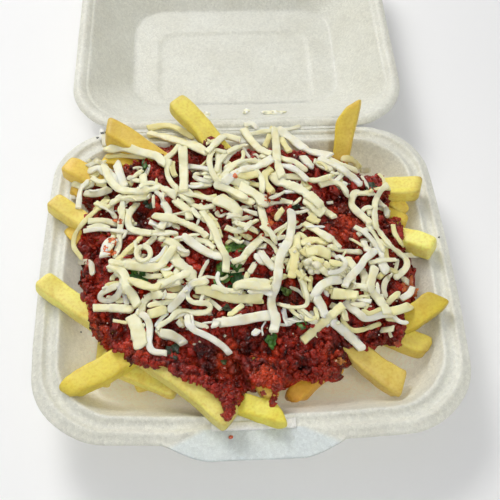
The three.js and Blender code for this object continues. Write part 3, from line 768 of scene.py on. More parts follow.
# fries inside the heap: they fill the tray up to its walls and show between the ones that stick out
def fill_heap(count, tries):
    placed = 0
    r = np.random.default_rng(23)
    for _ in range(tries):
        if placed >= count:
            break
        ang = r.uniform(0, 2 * math.pi)
        rad = outline(np.array(ang)) * math.sqrt(r.uniform(0.12, 1.15))
        c = np.array([CX + rad * math.cos(ang), CY + rad * math.sin(ang), 0])
        w, h = r.uniform(9, 12), r.uniform(9, 11.5)
        ln = r.uniform(38, 78)
        yaw = r.uniform(0, math.pi)
        pitch = r.normal(0, 0.16)
        d = np.array([math.cos(yaw) * math.cos(pitch), math.sin(yaw) * math.cos(pitch), math.sin(pitch)])
        c[2] = r.uniform(FLOOR_IN + h / 2 + 0.4, H + 4)
        p = line_points(c - d * ln / 2, c + d * ln / 2, 4.0)
        z = p[:, 2] - H
        if (p[:, 2] - h / 2 < FLOOR_IN + 0.3).any():
            continue
        if (tray_room(p[:, 0], p[:, 1], z - h / 2) < w / 2 + 0.6).any():
            continue
        f, th = polar(p[:, 0], p[:, 1])
        top = np.where(f < 1, bed_top(f, th, p[:, 0], p[:, 1]) - 0.8, H - 14 - 10 * (f - 1))
        if (p[:, 2] + h / 2 > top).any():
            continue
        near = min(np.sqrt(((p[:, None] - q[None]) ** 2).sum(-1)).min() for q in samples)
        if near < 8.3:
            continue
        tone = [(240, 222, 112), (232, 208, 92), (224, 192, 76), (244, 230, 126), (216, 176, 62)][int(r.integers(5))]
        fries_lower.add(*fry(p[0], p[-1], w, h, float(r.uniform(0.5, 0.9)), 5000 + 13 * placed, tone, float(r.normal(0, 1.0)), float(r.uniform(0.1, 0.5)),
                             float(r.uniform(0.3, 0.8)), near=0.95, slant=float(r.uniform(-0.3, 0.3)), roll=float(r.uniform(-0.3, 0.3)), n=22, step=2.2))
        samples.append(p)
        placed += 1
    return placed


placed = fill_heap(95, 9000)
print("fries inside the heap:", placed)


def build_core():
    """What lies deepest in the heap: a dome of packed fries, seen only as dark gold between them."""
    th = np.linspace(0, 2 * math.pi, 160, endpoint=False)
    o = outline(th)
    rows = []
    for f, z in [(0.55, 4.2), (0.62, 9), (0.70, 17), (0.78, 26)]:
        r = o * f
        x, y = CX + r * np.cos(th), CY + r * np.sin(th)
        lump = 1.6 * noise3(x / 9, y / 9, np.full_like(x, z / 9), 401)
        rows.append(np.stack([x + lump * np.cos(th), y + lump * np.sin(th), np.full_like(x, z)], 1))
    for f in [0.80, 0.74, 0.66, 0.56, 0.44, 0.32, 0.2, 0.1]:
        r = o * f
        x, y = CX + r * np.cos(th), CY + r * np.sin(th)
        z = bed_top(np.full_like(x, f), th, x, y) - lerp(1.6, 5.5, smooth((f - 0.5) / 0.3))
        rows.append(np.stack([x, y, z + 0.8 * noise2(x / 7, y / 7, 402)], 1))
    k, n = len(rows), len(th)
    pts = np.vstack(rows + [rows[0].mean(0)[None], np.array([[CX, CY, H + 10.5]])])
    look = np.tile(lin((206, 172, 84)), (len(pts), 1)) * (1 + 0.25 * noise3(pts[:, 0] / 6, pts[:, 1] / 6, pts[:, 2] / 6, 403))[:, None]
    return make("fries_core", pts, loft_faces(k, n, k * n, k * n + 1), FRY, {"look": look})


core_ob = build_core()
shown_ob = fries_shown.make("fries_top", FRY)
lower_ob = fries_lower.make("fries_inside", FRY)

# ------------------------------------------------------------------ chili
RED = [lin((160, 36, 15)), lin((138, 27, 13)), lin((184, 52, 20)), lin((102, 18, 8)), lin((208, 78, 32)), lin((44, 11, 5))]
# hollows between clumps, sunk in and painted dark as shade, as (u, v, radius, depth)
PITS = [(139.5, 214, 5.5, 5.0), (143, 222, 3.5, 3.5), (249, 344, 3.6, 3.0), (305, 359, 4.0, 3.0), (283, 297, 5.5, 3.0), (294, 303, 4.5, 3.0), (287, 312, 4, 2.2),
        (170, 350, 4.0, 2.0), (263, 203, 3.5, 2.0), (214, 306, 4.0, 2.2), (112, 330, 3.0, 1.6), (352, 243, 3.5, 1.8), (372, 291, 3.5, 2.2), (193, 168, 3.5, 2.2), (107, 204, 3.5, 2.2),
        (318, 225, 3.0, 1.8), (338, 335, 3.6, 2.0), (386, 333, 3.2, 2.0), (236, 362, 3.4, 2.0), (206, 364, 3.4, 1.8), (150, 336, 3.0, 1.8), (222, 240, 3.0, 1.6), (305, 172, 3.4, 1.8)]
PIT_XY = [(*on_plane(u, v, 14.0)[:2], r, dz) for u, v, r, dz in PITS]
# redder, brighter clumps
WARM_XY = [(*on_plane(u, v, 14.0)[:2], r) for u, v, r in [(350, 217, 8), (348, 236, 9), (250, 236, 7), (329, 242, 5), (140, 345, 6), (164, 342, 5), (227, 352, 8), (262, 362, 8), (271, 378, 6), (335, 345, 6), (292, 305, 5), (96, 318, 5)]]


# pits: how strongly each spot is painted dark as shade, and how deep the pits sink it
def pits(x, y):
    out = np.zeros(np.shape(x))
    deep = np.zeros(np.shape(x))
    for a, b, r, dz in PIT_XY:
        g = np.exp(-((x - a) ** 2 + (y - b) ** 2) / (r * r))
        out = np.maximum(out, g * min(1.0, dz / 3.0))
        deep = deep + g * dz
    return out, deep


def clefts(x, y):
    """How deep a spot lies between the clumps of mince: 0 on a clump, 1 in a cleft."""
    big = np.abs(noise2(x / 7.5 + 3, y / 7.5, 64))
    mid = np.abs(noise2(x / 3.6, y / 3.6 + 5, 65))
    return np.clip(smooth((0.26 - big) / 0.24) * 0.85 + smooth((0.22 - mid) / 0.22) * 0.45, 0, 1)


def chili_colour(x, y, z, s):
    a = noise3(x / 15, y / 15, z / 15, s)
    b = noise3(x / 6, y / 6, z / 6, s + 1)
    c = noise3(x / 2.4, y / 2.4, z / 2.4, s + 2)
    col = RED[0] + (RED[1] - RED[0]) * smooth(0.5 + 1.2 * a)[:, None]
    col = col + (RED[2] - col) * smooth((b - 0.15) / 0.6)[:, None] * 0.7
    col = col + (RED[3] - col) * smooth((-b - 0.15) / 0.6)[:, None] * 0.6
    col = col * (1 + 0.12 * c)[:, None]
    warm = np.zeros(len(x))
    for p, q, r in WARM_XY:
        warm = np.maximum(warm, np.exp(-((x - p) ** 2 + (y - q) ** 2) / (r * r)))
    warm = np.clip(warm * (0.55 + 0.7 * b) + smooth((c + a - 1.0) / 0.4) * 0.4, 0, 0.46)
    col = col + (RED[4] - col) * warm[:, None]
    col = col + (RED[5] - col) * smooth((-c - 0.5 - 0.2 * a) / 0.4)[:, None] * 0.55
    # painted shade and light: the clefts between clumps are painted darker and the clumps lighter
    col = col * (1.22 - 0.88 * clefts(x, y))[:, None]
    # painted shade: the pits are painted dark
    return col * (1 - 0.9 * pits(x, y)[0])[:, None]


def chili_height(x, y):
    """Top of the chili, rounded off towards its edge, with lumps."""
    f, th = polar(x, y)
    fine_edge = 0.022 * noise2(x / 4.5, y / 4.5, 61) + 0.014 * noise2(x / 2.2, y / 2.2, 62)
    f = f + fine_edge * smooth((f - 0.7) / 0.2)
    z0 = beef_top(f, th, x, y)
    zr = H + lerp(-5.5, 2.5, back_share(th)) + 1.5 * noise2(x / 7, y / 7, 31)
    s = np.clip((f - 0.83) / 0.17, 0, 1)
    z = zr + (z0 - zr) * np.sqrt(np.clip(1 - s ** 2.2, 0, 1))
    big = np.abs(noise2(x / 7.5 + 3, y / 7.5, 64))
    mid = np.abs(noise2(x / 3.6, y / 3.6 + 5, 65))
    small = noise2(x / 1.7, y / 1.7, 66)
    z = z + (3.6 * (np.minimum(big, 0.62) - 0.4) + 1.5 * (mid - 0.4) + 0.3 * small) * (1 - 0.5 * s)
    return z - pits(x, y)[1], f


def build_chili():
    n = 420
    th = np.linspace(0, 2 * math.pi, n, endpoint=False)
    fs = np.concatenate([np.linspace(0.02, 0.82, 82), np.linspace(0.83, 1.0, 30)])
    o = outline(th)
    rows = []
    for f in fs[::-1]:
        x, y = CX + o * f * np.cos(th), CY + o * f * np.sin(th)
        z, ff = chili_height(x, y)
        side = 0.7 * noise3(x / 2.4, y / 2.4, z / 2.4, 71) * smooth((f - 0.7) / 0.25)
        rows.append(np.stack([x + side * np.cos(th), y + side * np.sin(th), z], 1))
    rim = rows[0]
    under = []
    for k, (f, dz) in enumerate([(0.90, -5.5), (0.955, -4.2), (0.988, -2.4)]):
        x, y = CX + o * f * np.cos(th), CY + o * f * np.sin(th)
        j = 0.9 * noise3(x / 3.3, y / 3.3, rim[:, 2] / 3.3, 72)
        under.append(np.stack([x + j * np.cos(th), y + j * np.sin(th), rim[:, 2] + dz + 0.6 * j], 1))
    rows = under + rows
    k = len(rows)
    top = rows[-1].mean(0)
    pts = np.vstack(rows + [rows[0].mean(0)[None], top[None]])
    f_all = np.concatenate([np.zeros(len(under) * n), np.repeat(fs[::-1], n), [0, 0]])
    look = chili_colour(pts[:, 0], pts[:, 1], pts[:, 2], 500)
    # painted shade: spots low in the clefts are painted darker
    look = look * (1 - 0.4 * clefts(pts[:, 0], pts[:, 1]))[:, None]
    return make("chili_base", keep_in(pts), loft_faces(k, n, k * n, k * n + 1), CHILI, {"look": look})


def ico(sub):
    import bmesh
    bm = bmesh.new()
    bmesh.ops.create_icosphere(bm, subdivisions=sub, radius=1.0)
    v = np.array([x.co[:] for x in bm.verts])
    f = np.array([[x.index for x in q.verts] for q in bm.faces])
    bm.free()
    return v, f


ICO1, ICO2 = ico(1), ico(2)


def lumps(name, centres, normals, radii, unit, sink, seed, mat, colour, squash=0.75, rough=0.28, freq=1.4, long=1.35, inside=True):
    """One mesh of many small uneven lumps that sit in a surface."""
    v0, f0 = unit
    r = np.random.default_rng(seed)
    n = len(centres)
    # a random turn each
    q = r.normal(size=(n, 4))
    q /= np.linalg.norm(q, axis=1)[:, None]
    w, x, y, z = q.T
    rot = np.stack([np.stack([1 - 2 * (y * y + z * z), 2 * (x * y - z * w), 2 * (x * z + y * w)], 1),
                    np.stack([2 * (x * y + z * w), 1 - 2 * (x * x + z * z), 2 * (y * z - x * w)], 1),
                    np.stack([2 * (x * z - y * w), 2 * (y * z + x * w), 1 - 2 * (x * x + y * y)], 1)], 1)
    ax = np.stack([r.uniform(0.85, long, n), r.uniform(0.75, 1.1, n), r.uniform(0.6, 0.95, n)], 1)
    v = v0[None] * ax[:, None]
    ph = r.uniform(0, 100, (n, 1))
    v = v * (1 + rough * noise3(v[..., 0] * freq + ph, v[..., 1] * freq, v[..., 2] * freq + ph, 77))[..., None]
    v = np.einsum("nij,nkj->nki", rot, v) * radii[:, None, None]
    # press flat along the normal
    along = (v * normals[:, None]).sum(-1)
    v = v - normals[:, None] * (along * (1 - squash))[..., None]
    p = v + centres[:, None] - normals[:, None] * (radii * sink)[:, None, None]
    faces = (f0[None] + (np.arange(n) * len(v0))[:, None, None]).reshape(-1, f0.shape[1])
    look = colour(p.reshape(-1, 3), np.repeat(np.arange(n), len(v0)), r)
    p = p.reshape(-1, 3)
    return make(name, keep_in(p) if inside else p, faces, mat, {"look": look})


def height_normal(fn, x, y, e=0.6):
    z = fn(x, y)
    gx, gy = (fn(x + e, y) - fn(x - e, y)) / (2 * e), (fn(x, y + e) - fn(x, y - e)) / (2 * e)
    nrm = np.stack([-gx, -gy, np.ones_like(z)], 1)
    nrm = np.where(np.abs(nrm) > 4, np.sign(nrm) * 4, nrm)
    return z, nrm / np.linalg.norm(nrm, axis=1)[:, None]


def chili_spots(count, seed, fmax, gap):
    """Evenly spread spots over the chili."""
    r = np.random.default_rng(seed)
    th = r.uniform(0, 2 * math.pi, count * 3)
    f = np.sqrt(r.uniform(0, fmax ** 2, count * 3))
    o = outline(th)
    x, y = CX + o * f * np.cos(th), CY + o * f * np.sin(th)
    keep, grid = [], {}
    for k in range(len(x)):
        i, j = int(x[k] // gap), int(y[k] // gap)
        ok = True
        for a in (-1, 0, 1):
            for b in (-1, 0, 1):
                for m in grid.get((i + a, j + b), ()):
                    if (x[m] - x[k]) ** 2 + (y[m] - y[k]) ** 2 < gap * gap:
                        ok = False
        if ok:
            grid.setdefault((i, j), []).append(k)
            keep.append(k)
        if len(keep) >= count:
            break
    return x[keep], y[keep]


def chili_lump_colour(seed):
    def fn(p, idx, r):
        n = idx.max() + 1
        c = chili_colour(p[:, 0], p[:, 1], p[:, 2], 500 + seed)
        tint = r.normal(0, 1, n)[idx]
        c = c * (1 + 0.10 * tint)[:, None]
        bright = (r.uniform(0, 1, n) < 0.035)[idx]
        c[bright] = c[bright] * 0.72 + RED[4] * 0.28
        dark = (r.uniform(0, 1, n) < 0.10)[idx]
        c[dark] *= 0.62
        return np.clip(c, 0, 1)
    return fn


chili_ob = build_chili()
zfun = lambda x, y: chili_height(x, y)[0]
rr = np.random.default_rng(31)
cx_, cy_ = chili_spots(2000, 32, 0.985, 3.05)
cz_, cn_ = height_normal(zfun, cx_, cy_)
rad_ = rr.uniform(1.2, 2.3, len(cx_))
coarse_ob = lumps("chili_lumps", np.stack([cx_, cy_, cz_], 1), cn_, rad_, ICO2, 0.30, 33, CHILI, chili_lump_colour(3), rough=0.55, freq=2.3, long=1.8)
fx_, fy_ = chili_spots(3000, 34, 1.0, 1.85)
fz_, fn_ = height_normal(zfun, fx_, fy_)
frad_ = rr.uniform(0.6, 1.15, len(fx_))
fine_ob = lumps("chili_grains", np.stack([fx_, fy_, fz_ + 0.45], 1), fn_, frad_, ICO1, 0.15, 35, CHILI, chili_lump_colour(4), rough=0.55, freq=2.1, long=1.8)


# ------------------------------------------------------------------ a height map of what things lie on
def tree_of(ob):
    me = ob.data
    v = np.empty(len(me.vertices) * 3, np.float32)
    me.vertices.foreach_get("co", v)
    v = v.reshape(-1, 3) * 1000.0
    me.calc_loop_triangles()
    f = np.empty(len(me.loop_triangles) * 3, np.int32)
    me.loop_triangles.foreach_get("vertices", f)
    return BVHTree.FromPolygons(v.tolist(), f.reshape(-1, 3).tolist())


CELL = 0.8
GX = np.arange(-126, 126 + CELL, CELL)
GY = np.arange(-124, 132 + CELL, CELL)


def height_map(obs, x=GX, y=GY, z_top=120.0):
    grid = np.full((len(x), len(y)), -1e3)
    down = Vector((0, 0, -1))
    for ob in obs:
        t = tree_of(ob)
        for i, a in enumerate(x):
            for j, b in enumerate(y):
                hit = t.ray_cast(Vector((a, b, z_top)), down)
                if hit[0] is not None and hit[0][2] > grid[i, j]:
                    grid[i, j] = hit[0][2]
    return grid


FOAM_GRID = np.maximum(height_map([tray_ob, lid_ob, lug_ob]), 0.0)
GRID = np.maximum(FOAM_GRID, height_map([shown_ob, lower_ob, chili_ob, coarse_ob]))


def look_up(grid, x, y):
    i = np.clip((np.asarray(x) - GX[0]) / CELL, 0, len(GX) - 1.001)
    j = np.clip((np.asarray(y) - GY[0]) / CELL, 0, len(GY) - 1.001)
    a, b = np.floor(i).astype(int), np.floor(j).astype(int)
    u, v = i - a, j - b
    return (grid[a, b] * (1 - u) * (1 - v) + grid[a + 1, b] * u * (1 - v) + grid[a, b + 1] * (1 - u) * v + grid[a + 1, b + 1] * u * v)


def seat(grid, u, v):
    """Where the sight line through (u, v) first meets the height map."""
    d = ray(u, v)
    z = np.linspace(H + 45, 2, 260)
    t = (z[None, :] - CAM[2]) / d[:, 2:3]
    p = CAM + d[:, None, :] * t[..., None]
    g = look_up(grid, p[..., 0], p[..., 1])
    below = p[..., 2] <= g
    k = np.argmax(below, 1)
    k = np.where(below.any(1), k, len(z) - 1)
    return p[np.arange(len(k)), k], d


def wide_max(grid, cells):
    out = grid.copy()
    for a in range(-cells, cells + 1):
        for b in range(-cells, cells + 1):
            if a * a + b * b <= cells * cells + 0.5:
                out = np.maximum(out, np.roll(np.roll(grid, a, 0), b, 1))
    return out


# ------------------------------------------------------------------ herbs and drips on the chili
def patch(u, v, size_u, size_v, seed, col, bag, turn=0.0, curl=1.2, lobes=3, thick=0.35, lift=0.5, grid=None):
    """A small crinkled leaf that lies where the sight line through (u, v) meets the food."""
    r = np.random.default_rng(seed)
    nr, na = 7, 30
    ang = np.linspace(0, 2 * math.pi, na, endpoint=False)
    shape = 1 + 0.22 * np.sin(lobes * ang + r.uniform(0, 6)) + 0.12 * np.sin((lobes * 2 + 1) * ang + r.uniform(0, 6)) + 0.06 * r.normal(size=na)
    ct, st = math.cos(turn), math.sin(turn)
    us, vs = [u], [v]
    for k in range(1, nr + 1):
        a, b = size_u / 2 * k / nr * shape * np.cos(ang), size_v / 2 * k / nr * shape * np.sin(ang)
        us += list(u + a * ct - b * st)
        vs += list(v + a * st + b * ct)
    us, vs = np.array(us), np.array(vs)
    p, d = seat(GRID if grid is None else grid, us, vs)
    g = wide_look(p[:, 0], p[:, 1]) if grid is None else look_up(grid, p[:, 0], p[:, 1])
    z = g + lift
    z = z * 0.5 + np.median(z) * 0.5
    ridge = curl * (noise2(us / 3.1, vs / 3.1, seed) * 0.6 + 0.35 * noise2(us / 1.5, vs / 1.5, seed + 1))
    z = np.maximum(z + ridge, g + 0.1)
    t = (z - CAM[2]) / d[:, 2]
    top = CAM + d * t[:, None]
    low = top - np.array([0, 0, thick])
    n = len(us)
    f = []
    for i in range(na):
        j = (i + 1) % na
        f.append([0, 1 + j, 1 + i])
        f.append([n, n + 1 + i, n + 1 + j])
        for k in range(nr - 1):
            a, b = 1 + k * na + i, 1 + k * na + j
            f.append([a, b, b + na, a + na])
            f.append([n + b, n + a, n + a + na, n + b + na])
        a, b = 1 + (nr - 1) * na + i, 1 + (nr - 1) * na + j
        f.append([a, b, n + b, n + a])
    f = [q[::-1] for q in f]
    shade = 1 + 0.45 * noise2(us / 2.2, vs / 2.2, seed + 2)
    c = lin(col)[None] * shade[:, None]
    # painted shade: the underside gets 0.6 of the top's colour
    bag.add(np.vstack([top, low]), f, np.clip(np.vstack([c, c * 0.6]), 0, 1))


# where the chili ends, as the sight lines see it
CHILI_EDGE = [(83, 196), (82, 203), (88, 213), (84, 226), (83, 237), (80.5, 247), (76, 258), (79, 266), (80, 276), (75.5, 285), (79, 294), (89, 304), (91.5, 315), (91, 328), (96, 338), (104, 346.5),
              (115, 353.5), (126.5, 354), (130, 361), (140, 366), (156, 368), (170, 365), (174.5, 374.5), (183, 379.5), (197, 382), (209.5, 390.5), (223, 399), (226, 408.5), (223, 417), (229, 419),
              (236, 408.5), (240.5, 399), (246, 390.5), (253, 390), (261.5, 386), (270, 388.5), (278, 387), (279, 382), (273.5, 376), (281, 371.5), (289.5, 369.5), (292.5, 376), (299.5, 378.5), (303.5, 373),
              (309.5, 372), (316, 378.5), (326, 382.5), (337, 380), (340.5, 371.5), (339.5, 363.5), (337, 359), (343, 355), (349, 350.5), (365, 345.5), (379.5, 347.5), (392, 347), (397.5, 343.5), (403, 334),
              (404, 324), (400, 317), (408, 300), (407, 286), (404, 276), (397, 262), (398, 246), (400.5, 232), (399, 224), (390.5, 221.5), (382, 222), (385, 210), (387, 201), (387.5, 196.5), (381, 191), (381.5, 177.5),
              (375, 174.5), (367.5, 175), (352, 171), (330, 166), (300, 157), (287, 152.5), (264, 158), (250, 156), (240, 152), (224, 152), (212, 140), (205, 146), (197, 152), (165, 160), (150, 161), (139.5, 160), (127, 171)]


def within(poly, u, v):
    p = np.array(poly, float)
    q = np.roll(p, -1, 0)
    c = np.zeros(len(u), bool)
    for (x0, y0), (x1, y1) in zip(p, q):
        c ^= ((y0 > v) != (y1 > v)) & (u < (x1 - x0) * (v - y0) / (y1 - y0 + 1e-12) + x0)
    return c


def cover_spots(step, seed):
    r = np.random.default_rng(seed)
    uu, vv = np.meshgrid(np.arange(68, 415, step), np.arange(132, 425, step * 0.92))
    u = uu.ravel() + r.uniform(-0.45, 0.45, uu.size) * step
    v = vv.ravel() + r.uniform(-0.45, 0.45, uu.size) * step
    k = within(CHILI_EDGE, u, v)
    u, v = u[k], v[k]
    p, d = seat(GRID, u, v)
    z = look_up(GRID, p[:, 0], p[:, 1])
    zc, f = chili_height(p[:, 0], p[:, 1])
    need = ((f > 0.965) | (z > zc + 0.7)) & (z > H - 21) & ((z > look_up(FOAM_GRID, p[:, 0], p[:, 1]) + 1.0) | (p[:, 1] < 30))
    p[:, 2] = z + 1.7 - 2.6 * clefts(p[:, 0], p[:, 1])
    return p[need]


def ball_top(grid, c, r):
    for (x, y, z), q in zip(c, r):
        i0, i1 = int((x - q - GX[0]) / CELL), int((x + q - GX[0]) / CELL) + 2
        j0, j1 = int((y - q - GY[0]) / CELL), int((y + q - GY[0]) / CELL) + 2
        i0, j0 = max(i0, 0), max(j0, 0)
        xx, yy = np.meshgrid(GX[i0:i1], GY[j0:j1], indexing="ij")
        d2 = (xx - x) ** 2 + (yy - y) ** 2
        top = z + 0.8 * np.sqrt(np.maximum(q * q - d2, 0))
        grid[i0:i1, j0:j1] = np.where(d2 < q * q, np.maximum(grid[i0:i1, j0:j1], top), grid[i0:i1, j0:j1])


def up_normals(n, tilt=0.2):
    v = np.tile([0.0, -tilt, 1.0], (n, 1))
    return v / np.linalg.norm(v, axis=1)[:, None]


rc = np.random.default_rng(71)
c1 = cover_spots(3.45, 72)
r1 = rc.uniform(1.6, 2.6, len(c1))
c1[:, 2] += 0.30 * r1
c2 = cover_spots(2.1, 73)
r2_ = rc.uniform(0.7, 1.35, len(c2))
c2[:, 2] += 1.2
cover_ob = lumps("chili_cover", c1, up_normals(len(c1)), r1, ICO2, 0.0, 74, CHILI, chili_lump_colour(6), squash=0.8, rough=0.62, freq=2.6, long=1.7)
cover_fine = lumps("chili_cover_grains", c2, up_normals(len(c2)), r2_, ICO1, 0.0, 75, CHILI, chili_lump_colour(7), squash=0.85, rough=0.6, freq=2.1, long=1.8)
print("chili over fries:", len(c1), len(c2))
ball_top(GRID, c1, r1)
ball_top(GRID, c2, r2_)
ball_top(GRID, np.stack([fx_, fy_, fz_ + 0.45], 1), frad_)

WIDE = wide_max(GRID, 1)


def wide_look(x, y):
    return look_up(WIDE, x, y)


herbs = Bag()
for k, (u, v, su, sv, col, turn) in enumerate([
    (144.5, 168, 6.5, 18, (66, 100, 44), 0.0), (150, 204.5, 14, 7, (34, 54, 26), 0.2), (139, 275, 19, 16, (40, 82, 24), 0.2), (134, 271, 8, 7, (92, 132, 44), 0.4),
    (240, 281, 22, 20, (30, 76, 26), 0.2), (221, 276, 15, 26, (74, 108, 40), 0.15), (231, 290, 16, 9, (40, 88, 30), -0.3), (237, 266, 12, 9, (70, 112, 44), -0.4),
    (238, 246, 18, 13, (66, 104, 40), 0.2), (228, 249, 8, 8, (110, 150, 62), 0.2),
    (297, 206, 9, 6, (30, 48, 22), 0.1), (372, 186, 12, 7, (38, 58, 26), 0.1), (286, 291, 12, 7, (96, 118, 54), 0.5),
    (302, 325, 9, 8, (84, 126, 56), 0.2), (271.5, 340.5, 11, 15, (58, 104, 30), 0.1), (297, 318.5, 9, 5, (128, 148, 104), 0.1),
    (173, 351, 14, 15, (34, 48, 24), 0.5), (227, 308, 9, 7, (40, 52, 26), 0.4), (224, 362, 6, 5, (62, 74, 34), 0.2),
    (134, 280, 7, 5, (64, 100, 40), 0.9), (116, 242, 5, 4, (58, 84, 36), 0.2),
]):
    patch(u, v, su, sv, 700 + 3 * k, col, herbs, turn)
herb_ob = herbs.make("herb_leaves", HERB)


def cluster(name, spots, mat, seed, colour, unit=ICO1, sink=0.2):
    """Small lumps heaped where sight lines meet the food; spots are (u, v, radius mm)."""
    s = np.array(spots, float)
    p, d = seat(GRID, s[:, 0], s[:, 1])
    z = look_up(GRID, p[:, 0], p[:, 1])
    p = p.copy()
    p[:, 2] = z + s[:, 2] * 0.35
    nrm = np.tile([0.0, -0.15, 1.0], (len(s), 1))
    nrm /= np.linalg.norm(nrm, axis=1)[:, None]
    return lumps(name, p, nrm, s[:, 2], unit, sink, seed, mat, colour, rough=0.6, freq=2.2, long=1.8)


def drip(points, width, count, seed, r0=0.8, r1=1.7):
    r = np.random.default_rng(seed)
    p = np.array(points, float)
    seg = np.r_[0, np.cumsum(np.hypot(*np.diff(p, axis=0).T))]
    t = r.uniform(0, seg[-1], count)
    u, v = np.interp(t, seg, p[:, 0]), np.interp(t, seg, p[:, 1])
    w = np.interp(t, seg, width)
    return [(a + r.normal(0, 0.32) * q, b + r.normal(0, 0.25) * q, r.uniform(r0, r1)) for a, b, q in zip(u, v, w)]


spots = []
spots += drip([(236, 388), (233, 404), (227, 417)], [12, 9, 5], 60, 41)
spots += drip([(272, 380), (276, 394), (273, 404)], [9, 6, 4], 36, 42)
spots += drip([(205, 380), (222, 396), (236, 402)], [10, 9, 9], 60, 43)
spots += drip([(128, 352), (145, 360), (168, 364)], [7, 8, 7], 50, 44)
spots += drip([(300, 372), (312, 378), (330, 380)], [8, 9, 8], 40, 45)
spots += drip([(92, 300), (96, 325), (108, 348)], [5, 5, 6], 46, 46)
spots += drip([(78, 262), (84, 284), (92, 302)], [5, 6, 6], 46, 47)
drip_ob = cluster("chili_drips", spots, CHILI, 48, chili_lump_colour(5))


# ------------------------------------------------------------------ grated cheese
# g is a greyer copy of the cream: painted shade on strands that lie low among the others; dropped shreds also take it
# at random
TONES = {"c": (244, 241, 208), "y": (236, 227, 168), "g": (224, 222, 202), "w": (243, 242, 228), "p": (246, 240, 188)}

